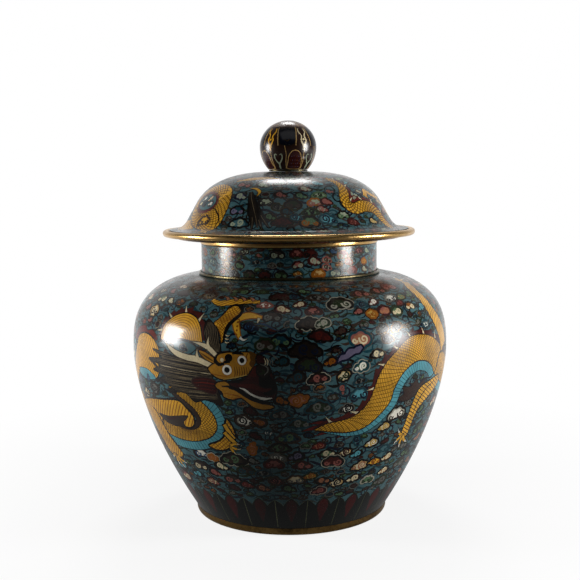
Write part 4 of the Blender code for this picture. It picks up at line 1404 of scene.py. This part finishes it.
neckForm = {
    "radius": high("neck_enamel", 0), "foot": low("neck_enamel", 2), "top": high("neck_enamel", 2),
    "flow": ((-182, 182), 2, 41, 7.5),
    "scrolls": ((-184, 184), 8, 40, 13.0),
    "large": ((-178, 178), 8, 38, 13.0, (14, 20)),
    "small": ((-178, 178), 6, 40, 8.0, (8, 11)),
    "footLine": (1.2, 2.2),
    "grid": 7.0,
}
neckClouds = [  # (degrees, height, width, fill, rim, curl, kind)
    (-7, 34, 20, "hair", "black", "white", "ruyi"), (4.5, 35, 19, "rose", "maroon", "red", "ruyi"),
    (13, 34, 19, "red", "maroon", "black", "ruyi"), (49, 35, 19, "coral", "maroon", "red", "bank"),
    (58, 34, 16, "green", "teal", "white", "comma"), (15.5, 25, 20, "rose", "maroon", "cream", "comma"),
    (23.5, 26, 15, "cream", "rose", "red", "comma"), (23.5, 17, 15, "cream", "rose", "maroon", "comma"),
    (54.5, 21, 16, "ochre", "amber", "amber", "comma"), (-25, 9, 18, "hair", "black", "olive", "ruyi"),
    (-15, 9, 18, "red", "black", "maroon", "ruyi"), (-5, 9, 18, "olive", "black", "green", "ruyi"),
    (5, 10, 15, "yellow", "olive", "amber", "bank"), (18, 9.5, 20, "yellow", "amber", "amber", "ruyi"),
    (29.5, 10, 18, "grey", "teal", "cream", "ruyi"), (43, 11, 18, "rose", "red", "red", "ruyi"),
    (55, 11, 16, "amber", "black", "cream", "comma"), (-46, 30, 18, "rose", "maroon", "cream", "comma"),
    (-57, 22, 18, "cream", "teal", "teal", "comma"), (-38, 34, 17, "maroon", "black", "rose", "ruyi"),
    (-60, 10, 17, "white", "teal", "green", "comma"), (-20, 24, 17, "grey", "teal", "black", "bank"),
    (35, 31, 18, "coral", "rose", "cream", "ruyi"), (-68, 33, 17, "coral", "amber", "red", "comma"),
    (65, 12, 16, "cream", "black", "teal", "comma"), (40, 22, 15, "white", "rose", "rose", "comma"),
]


def squared(a0, a1, s0, s1, across, up):  # border of a band, anticlockwise
    level, upright = np.linspace(a0, a1, across), np.linspace(s0, s1, up)
    edge = [(a, s0) for a in level] + [(a1, s) for s in upright[1:]]
    return np.array(edge + [(a, s1) for a in level[::-1][1:]] + [(a0, s) for s in upright[::-1][1:-1]])


def quietCloud(sheet, deg, s, size, fill, rim, core, kind, shift):
    cloud(sheet, deg, s, size, quiet.get(fill, fill), rim, quiet.get(core, core), kind, 0, 1, shift)


def buildNeck(form):
    skin = Skin([(form["radius"], z) for z in np.linspace(form["foot"], form["top"], 12)])
    sheet = Sheet(skin, "turquoise")
    drawFlow(sheet, *form["flow"])
    drawScrolls(sheet, *form["scrolls"])
    for item in neckClouds:
        for shift in (0.0, 180.0 if item[0] < 0 else -180.0):
            quietCloud(sheet, *item, shift)
    fillClouds(sheet, *form["large"], quietMixes)
    fillClouds(sheet, *form["small"], darkMixes)
    sheet.fill(squared(-3.3, 3.3, *form["footLine"], 120, 2), "black")
    made = cut(sheet, "neck", squared(-pi, pi, 0.0, skin.whole, 160, 8), form["grid"], 1)
    fitted(made, "jar", "turquoise_enamel", "neck_enamel")


# lid

lidForm = {  # radii and heights above the mouth rim, then spans, limits and pitches of the clouds
    "mouth": high("mouth_rim", 2),
    "edge": (high("lid_enamel", 0), 11.9),
    "brimRoot": (142.5, 14.2),
    "domeFoot": (137.5, 18.7),
    "knee": (121.5, 47.2),
    "crown": high("lid_enamel", 2) - high("mouth_rim", 2),
    "flat": 24.0,
    "crownPull": 50.0,
    "kneePull": 30.0,
    "bare": 22.0,  # radius left free of enamel under the finial
    "flow": ((-180, 178), 4, 160, 9.0),
    "scrolls": ((-180, 176), 10, 140, 14.0),
    "large": ((-180, 180), 9, 148, 16.0, (17, 24)),
    "small": ((-180, 180), 8, 146, 9.0, (9, 12)),
    "grid": 7.0,
}


def bend(a, b, c, d, count):
    t = np.linspace(0, 1, count)[:, None]
    a, b, c, d = (np.array(p, float) for p in (a, b, c, d))
    return (1 - t) ** 3 * a + 3 * (1 - t) ** 2 * t * b + 3 * (1 - t) * t**2 * c + t**3 * d


def lidOutline(form):  # from the brim's edge to the middle of the crown
    edge, root, foot, knee = (np.array(form[k], float) for k in ("edge", "brimRoot", "domeFoot", "knee"))
    crown = np.array((form["flat"], form["crown"]))
    rise = (knee - foot) / np.hypot(*(knee - foot))
    # the hollow between brim and dome
    cove = bend(root + (edge - root) * 0.35, root, foot, foot + rise * 7, 14)
    dome = bend(knee, knee + rise * form["kneePull"], crown + (form["crownPull"], 0), crown, 90)
    line = np.concatenate((
        np.linspace(edge, cove[0], 8)[:-1], cove, np.linspace(cove[-1], knee, 12)[1:-1], dome,
        np.linspace(crown, (0.4, form["crown"]), 12)[1:],
    ))
    return line + (0.0, form["mouth"])


lidClouds = [  # (degrees, length from the brim's edge, width, fill, rim, curl, kind)
    (-31, 66, 22, "lavender", "navy", "white", "comma"), (-13.5, 57, 22, "white", "black", "black", "ruyi"),
    (-30, 46, 22, "teal", "black", "lavender", "ruyi"), (-27, 28, 32, "turquoise", "black", "white", "bank"),
    (-6, 50, 19, "grey", "olive", "black", "comma"), (2.5, 54, 24, "olive", "black", "hair", "ruyi"),
    (7.5, 66, 19, "teal", "black", "green", "comma"), (19, 67, 21, "white", "green", "olive", "bank"),
    (15.5, 56, 22, "cream", "amber", "coral", "ruyi"), (22.5, 57, 19, "coral", "maroon", "rose", "comma"),
    (19, 47, 18, "cream", "maroon", "rose", "comma"), (12, 43, 24, "green", "olive", "black", "bank"),
    (-3.5, 30, 29, "red", "black", "maroon", "bank"), (11, 30, 28, "green", "black", "amber", "ruyi"),
    (21, 33, 27, "aqua", "teal", "navy", "comma"), (31, 38, 20, "white", "black", "green", "ruyi"),
    (36, 28, 20, "rose", "maroon", "red", "comma"), (51.5, 28, 18, "green", "black", "yellow", "comma"),
    (17, 13, 22, "cream", "maroon", "rose", "ruyi"), (27, 11, 22, "maroon", "black", "rose", "ruyi"),
    (-10, 37, 18, "olive", "black", "green", "comma"), (-1, 44, 18, "hair", "black", "teal", "comma"),
    (4, 36, 18, "aqua", "teal", "navy", "comma"), (-3, 10, 22, "hair", "black", "coral", "ruyi"),
    (7, 10, 20, "olive", "black", "green", "comma"), (-16, 11, 21, "rose", "maroon", "cream", "comma"),
    (44, 68, 22, "blue", "navy", "white", "comma"), (45, 60, 17, "coral", "red", "cream", "comma"),
    (-5, 68, 19, "maroon", "black", "rose", "comma"), (11, 78, 19, "rose", "maroon", "cream", "comma"),
]


def drawLidDragons(sheet, shift):
    skin = sheet.skin
    outer = smooth(
        [
            (-39, 26), (-37.5, 42), (-37, 58), (-40, 76), (-48, 86), (-58, 89), (-69, 84), (-76.5, 70),
            (-78, 54), (-74.5, 37), (-66, 25), (-54, 17), (-43, 15),
        ],
        True, 8, shift,
    )
    inner = smooth(
        [
            (-49, 57), (-52, 65.5), (-59.5, 69.5), (-67, 65.5), (-70, 57), (-67, 48.5), (-59.5, 44.5),
            (-52, 48.5),
        ],
        True, 10, shift,
    )
    outer = evenly(skin, np.concatenate((outer, outer[:1])), 160)
    inner = evenly(skin, np.concatenate((inner, inner[:1])), 160)
    turnOut = np.roll(outer[:-1], -32, 0)
    turnOut, turnIn = np.concatenate((turnOut, turnOut[:1])), inner
    tail = sheet.strip(
        [(-60, 28), (-76, 19), (-90, 24), (-101, 42), (-104, 58)], "ochre", 24, 20, 15, 9, 0.8, width=1.6,
        shift=shift,
    )
    sheet.hatch(tail, "umber", 40, 5.0, 0.9)
    sheet.hatch(tail, "umber", -40, 5.0, 0.9)
    sheet.cell(outer[:-1], "ochre", "black", 1.6)
    sheet.solids.append(outer[:-1])
    net(sheet, turnOut, turnIn, 5.6, "umber", 1.15)
    for k in range(16):  # scalloped edge of the hole
        at = inner[int(k * 159 / 16)]
        sheet.spot(np.degrees(at[0]), at[1], 4.2, "red", "black", 0.7, 10)
    sheet.cell(inner[:-1], "turquoise", "maroon", 1.8)
    for deg, s, size, fill, core in (
        (-64, 61.5, 14, "turquoise", "white"), (-56.5, 62.5, 14, "rose", "cream"),
        (-61, 54, 14, "turquoise", "navy"), (-54, 54.5, 13, "lavender", "white"),
        (-66.5, 54, 12, "green", "cream"),
    ):
        cloud(sheet, deg, s, size, fill, "navy", core, "comma", 4 * s, shift=shift)
    sheet.line([(-50, 50), (-45, 44), (-41, 34), (-41.5, 20)], "black", 0.8, 2.0, 2.0, 0.8, shift=shift)
    cloud(sheet, -53, 30, 26, "ochre", "hair", "hair", "ruyi", 14, shift=shift)
    claws(sheet, -45, 15, (200, 235, 270, 305), 15, shift=shift)
    # hair in pointed locks
    for deg, s in ((-22.8, 38), (-9.5, 21), (-20.6, 27), (-12.8, 17), (-18.6, 17), (-15.8, 22)):
        path = [(-24.5, 73), (-22.5, 62), ((deg - 21) / 2, (s + 58) / 2), (deg, s)]
        sheet.strip(path, "soot", 4, 9, 8, 0.6, edge="black", width=0.9, shift=shift)
        sheet.line(path, "strand", 0.3, 0.7, 0.6, 0.3, shift=shift)
    sheet.strip(
        [(-27, 80), (-22, 79), (-18.6, 73), (-19.6, 66)], "ochre", 1, 4.4, 5, 1, edge="hair", width=1.2,
        shift=shift,
    )
    neck = sheet.strip(
        [(-46, 96), (-34, 103), (-20, 106), (-7, 103)], "ochre", 3, 10, 10, 2, width=1.4, shift=shift,
    )
    sheet.hatch(neck, "amber", 60, 3.4, 0.9)
    path = smooth(
        [
            (33, 104), (37, 96), (39.5, 85), (38.5, 73), (36, 62), (36.5, 52), (41, 46.5), (48, 49.5),
            (55, 48), (60, 41), (63, 30), (66, 12),
        ],
        False, 8, shift,
    )
    path = evenly(skin, path, 130)
    wide = np.interp(np.linspace(0, 1, 130), (0, 0.25, 0.6, 1), (4, 7, 8.5, 8))[:, None]
    left, right = path + sideways(skin, path) * wide, path - sideways(skin, path) * wide
    back, want = fin(sheet, left, 5.0, "red", 12.0)
    spikes(sheet, back, want, 24.0, 7.0, "cream")
    loop = np.concatenate((left, right[::-1]))
    sheet.cell(loop, "ochre", "black", 1.6)
    sheet.solids.append(loop)
    net(sheet, left, right, 5.6, "umber", 1.15)
    sheet.strip([(33, 104), (25, 108), (16, 106)], "red", 6, 5, 0.6, shift=shift)
    limb = sheet.strip([(56, 62), (61, 72), (66, 66), (72, 60)], "ochre", 9, 10, 8, 6, width=1.6, shift=shift)
    sheet.hatch(limb, "amber", 40, 3.2, 0.8)
    claws(sheet, 72, 60, (-60, 0, 60), 13, shift=shift)


def buildLid(form):
    skin = Skin(lidOutline(form), True)
    sheet = Sheet(skin, "turquoise")
    drawFlow(sheet, *form["flow"])
    drawScrolls(sheet, *form["scrolls"])
    mark = len(sheet.cells)
    for shift in (0.0, 180.0):
        drawLidDragons(sheet, shift)
    dragons, sheet.cells = sheet.cells[mark:], sheet.cells[:mark]
    for item in lidClouds:
        for shift in (0.0, 180.0):
            quietCloud(sheet, *item, shift)
    fillClouds(sheet, *form["large"], quietMixes)
    fillClouds(sheet, *form["small"], darkMixes)
    sheet.cells += dragons
    turn = np.linspace(-pi, pi, 220, endpoint=False)
    edge = np.stack((turn, np.zeros(220)), 1)
    bare = float(np.interp(-form["bare"], -skin.line[:, 0], skin.length))
    made = cut(sheet, "lid", edge, form["grid"], 1, np.stack((turn[::4], np.full(55, bare)), 1))
    fitted(made, "lid", "turquoise_enamel", "lid_enamel")


# finial

finialForm = {
    "radius": high("finial_enamel", 0), "base": low("finial_enamel", 2), "top": high("finial_enamel", 2),
    "upper": 34.7, "lower": 40.8, "repeats": 5, "cap": 62.0, "grid": 4.0,
    "figures": ("cream", "ochre", "cream", "ochre", "ochre"),
}


def finialOutline(form):
    middle = form["top"] - form["upper"]
    line = []
    for z in np.linspace(form["base"], middle, 30):
        line.append((form["radius"] * (1 - ((middle - z) / form["lower"]) ** 2) ** 0.5, z))
    for a in np.linspace(0, pi / 2 - 0.004, 50)[1:]:
        line.append((form["radius"] * cos(a), middle + form["upper"] * sin(a)))
    return line


def drawFinial(sheet, form):
    step = 360 / form["repeats"]
    turn = np.linspace(-pi, pi, 60, endpoint=False)
    # the cap on top is a lighter brown, partly painted sheen from the light above, ringed with a straw line
    sheet.cell(np.stack((turn, np.full(60, form["cap"])), 1), "chestnut", "straw", 0.8)
    for k in range(form["repeats"]):
        at = 15 + k * step  # arched petals with a speckled heart
        arch = [(0, 27), (8, 25), (13.5, 19), (16, 10), (16.5, 1)]
        arch = [(at + x, s) for x, s in arch] + [(at - x, s) for x, s in arch[::-1][:-1]]
        sheet.patch(arch, "maroon", "straw", 1.0)
        for row in range(4):
            for col in range(-2, 3):
                sheet.spot(
                    at + col * 5 + (row % 2) * 2.5, 4 + row * 5.0, 0.5,
                    "lavender" if (row + col) % 3 else "amber", None, 1, 6,
                )
        hook = at - step / 2  # two-horned hooks on a stem
        for side in (-1, 1):
            path = [
                (hook, 1), (hook, 8), (hook + side * 5, 12.5), (hook + side * 8.5, 17.5),
                (hook + side * 7, 22), (hook + side * 3, 21),
            ]
            sheet.line(path, "celadon", 2.4, 1.9, 1.6, 1.5, 0.9)
            sheet.line(
                [(at + side * 20, 1), (at + side * 20, 12), (at + side * 19, 22), (at + side * 22, 33)],
                "straw", 0.9, 0.9, 0.7,
            )
        panel = -2 + k * step  # blue-black panels between upright wires
        edge = [(-15, 36), (-17, 46), (-19, 57), (19, 57), (17, 46), (15, 36), (0, 33)]
        sheet.patch([(panel + x, s) for x, s in edge], "ink", "black", 1.0, steps=3)
        sheet.line([(panel - 5, 41), (panel, 38.5), (panel + 5, 41)], "wire", 0.6, 1.0, 0.6)
        top = panel + step / 2
        for side in (-1, 1):
            sheet.line(
                [(panel + side * 18, 33), (panel + side * 20, 45), (panel + side * 23, 60)], "straw", 0.9,
                1.2, 0.8,
            )
            path = [
                (top, 27), (top + side * 2, 34), (top + side * 6, 40), (top + side * 3.5, 46),
                (top + side * 9, 52), (top + side * 8, 58),
            ]
            sheet.line(path, form["figures"][k], 2.8, 2.2, 2.0, 1.8, 1.6, 0.8)
        sheet.spot(top, 41, 1.6, form["figures"][k], None, 1, 10)
        sheet.line([(panel - 14, 66), (panel, 69), (panel + 14, 66)], "straw", 0.7, 1.1, 0.7)
        sheet.line([(top, 62), (top, 68), (top, 76)], "straw", 0.9, 0.9, 0.6)


def buildFinial(form):
    skin = Skin(finialOutline(form), True)
    sheet = Sheet(skin, "finial")
    drawFinial(sheet, form)
    turn = np.linspace(-pi, pi, 90, endpoint=False)
    made = cut(sheet, "finial", np.stack((turn, np.zeros(90)), 1), form["grid"], 1)
    fitted(made, "lid", "finial_enamel", "finial_enamel")


buildNeck(neckForm)
buildLid(lidForm)
buildFinial(finialForm)


# gilt edges and bare metal, turned smooth

def lathe(name, section, material, body, node, sides=160):
    mesh = bpy.data.meshes.new(name)
    count = len(section)
    points, faces = [], []
    for i in range(sides):
        a = 2 * pi * i / sides
        points += [(r * sin(a) * mm, -r * cos(a) * mm, z * mm) for r, z in section]
    for i in range(sides):
        k = (i + 1) % sides
        for j in range(count):
            n = (j + 1) % count
            faces.append((i * count + j, k * count + j, k * count + n, i * count + n))
    mesh.from_pydata(points, [], faces)
    mesh.polygons.foreach_set("use_smooth", [True] * len(faces))
    mesh.set_sharp_from_angle(angle=0.7)
    mesh.materials.append(material)
    piece = bpy.data.objects.new(name, mesh)
    bpy.context.scene.collection.objects.link(piece)
    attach(piece, body)
    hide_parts(node)


def rounded(corners, radius):  # a closed section with its corners eased
    out = []
    for i, corner in enumerate(corners):
        c = np.array(corner, float)
        arms = []
        for n in (corners[i - 1], corners[(i + 1) % len(corners)]):
            way = np.array(n, float) - c
            arms.append(c + way * min(radius / np.hypot(*way), 0.45))
        for t in np.linspace(0, 1, 5):
            out.append(tuple((1 - t) ** 2 * arms[0] + 2 * t * (1 - t) * c + t**2 * arms[1]))
    return out


def boxed(inner, outer, foot, top):  # section of a plain ring
    return [(inner, foot), (outer, foot), (outer, top), (inner, top)]


def extent(node):  # outer radius, foot and top of a turned piece
    return high(node, 0), low(node, 2), high(node, 2)


footForm = {"flat": 123.1, "width": 9.0, "ledge": 4.0, "round": 5.4, "seat": 4.7}


def buildFoot(form):
    swell, _, top = extent("foot_rim")
    inner = form["flat"] - form["width"]
    section = [
        (form["flat"] + (swell - form["flat"]) * sin(a), form["round"] * (1 - cos(a)))
        for a in np.linspace(0, pi / 2, 8)
    ]
    section += [(swell, top), (inner + form["ledge"], top), (inner + form["ledge"], form["seat"])]
    section += [(inner, form["seat"]), (inner, 0.0)]
    lathe("footRim", section, giltFoot, "jar", "foot_rim")


ringForm = {  # inner radii, and how far the corners are eased
    "beadGap": 0.3, "beadEase": 1.5,
    "mouthInner": 112.4, "mouthEase": 2.2,
    "collarInner": 4.3, "collarHeight": 2.2, "collarEase": 1.0,
}


def buildRings(form):
    bead = boxed(high("neck_enamel", 0) + form["beadGap"], *extent("neck_bead"))
    lathe("neckBead", rounded(bead, form["beadEase"]), giltBead, "jar", "neck_bead")
    mouth = boxed(form["mouthInner"], *extent("mouth_rim"))
    lathe("mouthRim", rounded(mouth, form["mouthEase"]), giltEdge, "jar", "mouth_rim")
    outer, foot, top = extent("lid_rim")
    middle, radius = (foot + top) / 2, (top - foot) / 2
    roll = [
        (outer - radius + radius * cos(a), middle + radius * sin(a))
        for a in np.linspace(0, 2 * pi, 24, endpoint=False)
    ]
    lathe("lidRim", roll, giltEdge, "lid", "lid_rim", 200)
    outer, _, top = extent("finial_collar")
    collar = rounded(boxed(form["collarInner"], outer, top - form["collarHeight"], top), form["collarEase"])
    lathe("finialCollar", collar, giltBead, "lid", "finial_collar", 90)


copperForm = {
    "wall": 2.2, "coat": 1.4, "lidWall": 2.0, "collarEase": 0.6, "seatSlope": 10.2, "stemHole": 5,
    "bare": ("base_plate", "lower_body_shell", "shoulder_shell", "finial_lower_cup", "finial_upper_cup"),
    "brass": ("finial_stem", "finial_washer", "finial_nut"),
}


def buildCopper(form):
    outer, foot, top = extent("neck_tube")
    tube = boxed(outer - form["wall"], outer, foot, top)
    lathe("neckTube", tube, copperSheet, "jar", "neck_tube")
    outer, foot, top = extent("lid_collar")
    wall, inner = form["lidWall"], outer - form["lidWall"]
    collar = rounded(boxed(inner, outer, foot, top), form["collarEase"])
    lathe("lidCollar", collar, copperSheet, "lid", "lid_collar")
    rim, foot, top = extent("lid_seat_ring")
    slopeFoot = rim - form["seatSlope"]
    ring = [(inner, foot), (slopeFoot, foot), (rim, top - wall), (rim, top)]
    ring += [(slopeFoot, foot + wall), (inner, foot + wall)]
    lathe("lidSeatRing", ring, copperSheet, "lid", "lid_seat_ring")
    line = lidOutline(lidForm)
    line = line[line[:, 0] > form["stemHole"]]
    run = np.gradient(line, axis=0)
    into = np.stack((-run[:, 1], run[:, 0]), 1) / np.hypot(*run.T)[:, None]
    outside, under = line + into * form["coat"], line + into * (form["coat"] + form["wall"])
    shell = [tuple(p) for p in np.concatenate((outside, under[::-1]))]
    lathe("lidShell", shell, copperSheet, "lid", "lid_shell")
    for nodes, material in ((form["bare"], copperSheet), (form["brass"], brassTurned)):
        for node in nodes:
            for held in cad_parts[node].material_slots:
                held.material = material


buildFoot(footForm)
buildRings(ringForm)
buildCopper(copperForm)
print("edges and bare metal ready")


# studio

studio = {
    "camera": (0.0008, -1.3347, 0.4457),
    "pitch": 83.559,
    "roll": -0.55,
    "lens": 62.07,
    "ambient": 0.025,
    "mirrored": (0.35, 0.95, 0.012, 1.0),  # the pale wall behind, as gloss shows it
    "aim": (0, 0, 0.3),
    "left": ((-1.5, -0.08, 0.47), (0.44, 0.5), 20.5),
    "right": ((1.36, -0.34, 0.49), (0.4, 0.54), 20.5),
    "top": ((0.0, 0.95, 1.75), (0.55, 0.35), 11),
    "fill": ((0.15, -1.1, 2.1), (2.2, 1.5), 4),
}
floorForm = {
    "half": 6, "drop": 0.0005, "grain": 3.0, "tints": (0.11, 0.13), "seen": 0.86, "roughness": 0.9,
    "shadow": (0.22, 0.75, 0.84, 1.0),  # the shadow shows near the foot, and the rest is plain white
    "mirrored": (-0.2, 0.9, 0.03, 1.0),
}


def grey(level):
    return (level, level, level, 1)


def lamp(name, place, target, width, height, power):
    data = bpy.data.lights.new(name, "AREA")
    data.shape, data.size, data.size_y, data.energy = "RECTANGLE", width, height, power
    item = bpy.data.objects.new(name, data)
    item.location = place
    way = [t - p for t, p in zip(target, place)]
    item.rotation_euler = Vector(way).to_track_quat("-Z", "Y").to_euler()
    bpy.context.scene.collection.objects.link(item)


def buildCamera():
    scene = bpy.context.scene
    data = bpy.data.cameras.new("camera")
    data.lens, data.sensor_width, data.clip_end = studio["lens"], 36.0, 50.0
    camera = bpy.data.objects.new("camera", data)
    camera.location = studio["camera"]
    pitch = Matrix.Rotation(radians(studio["pitch"]), 3, "X")
    roll = Matrix.Rotation(radians(studio["roll"]), 3, "Z")
    camera.rotation_euler = (pitch @ roll).to_euler()
    scene.collection.objects.link(camera)
    scene.camera = camera
    scene.view_settings.view_transform = "Standard"


def buildWorld():
    world = bpy.data.worlds.new("studio")
    world.use_nodes = True
    bpy.context.scene.world = world
    tree = world.node_tree
    tree.nodes.clear()
    path = add(tree, "LightPath").outputs
    way = add(tree, "SeparateXYZ", {"Vector": add(tree, "TexCoord").outputs["Generated"]}).outputs["Y"]
    behind = spread(tree, way, *studio["mirrored"])
    mirrored = sums(tree, "MAXIMUM", path["Is Glossy Ray"], path["Is Transmission Ray"])
    more = sums(tree, "MULTIPLY", mirrored, sums(tree, "SUBTRACT", behind, studio["ambient"]))
    level = sums(tree, "MAXIMUM", sums(tree, "ADD", more, studio["ambient"]), path["Is Camera Ray"])
    ground = add(tree, "Background", {"Color": grey(1), "Strength": level})
    tree.links.new(ground.outputs[0], add(tree, "OutputWorld").inputs["Surface"])


def buildFloor(form):
    half = form["half"]
    corners = [(-half, -half, 0), (half, -half, 0), (half, half, 0), (-half, half, 0)]
    mesh = bpy.data.meshes.new("floor")
    mesh.from_pydata(corners, [], [(0, 1, 2, 3)])
    floor = bpy.data.objects.new("floor", mesh)
    floor.location.z = -form["drop"]
    bpy.context.scene.collection.objects.link(floor)
    material, tree, shader = newMaterial("pale_floor")
    place = add(tree, "TexCoord").outputs["Object"]
    path = add(tree, "LightPath").outputs
    speckle = add(tree, "TexNoise", {"Vector": place, "Scale": form["grain"]}).outputs["Fac"]
    tint = mixed(tree, "MIX", speckle, *(grey(level) for level in form["tints"]))
    seen = mixed(tree, "MIX", path["Is Camera Ray"], tint, grey(form["seen"]))
    tree.links.new(seen, shader["Base Color"])
    shader["Roughness"].default_value = form["roughness"]
    shader["Specular IOR Level"].default_value = 0.0
    apart = add(tree, "VectorMath", {0: place}, operation="LENGTH").outputs["Value"]
    near = spread(tree, apart, *form["shadow"])
    away = add(tree, "SeparateXYZ", {"Vector": place}).outputs["Y"]
    behind = spread(tree, away, *form["mirrored"])
    mirrored = sums(tree, "MAXIMUM", path["Is Glossy Ray"], path["Is Transmission Ray"])
    direct = sums(tree, "MULTIPLY", path["Is Camera Ray"], near)
    share = sums(tree, "MAXIMUM", direct, sums(tree, "MULTIPLY", mirrored, behind))
    glow = add(tree, "Emission", {"Color": grey(1), "Strength": 1.0})
    bare = tree.nodes["Principled BSDF"]
    mix = add(tree, "MixShader", {0: share, 1: bare.outputs[0], 2: glow.outputs[0]})
    tree.links.new(mix.outputs[0], tree.nodes["Material Output"].inputs["Surface"])
    mesh.materials.append(material)


buildCamera()
buildWorld()
buildFloor(floorForm)
for name in ("left", "right", "top", "fill"):
    place, size, power = studio[name]
    lamp(name + "_lamp", place, studio["aim"], *size, power)
print("studio ready")
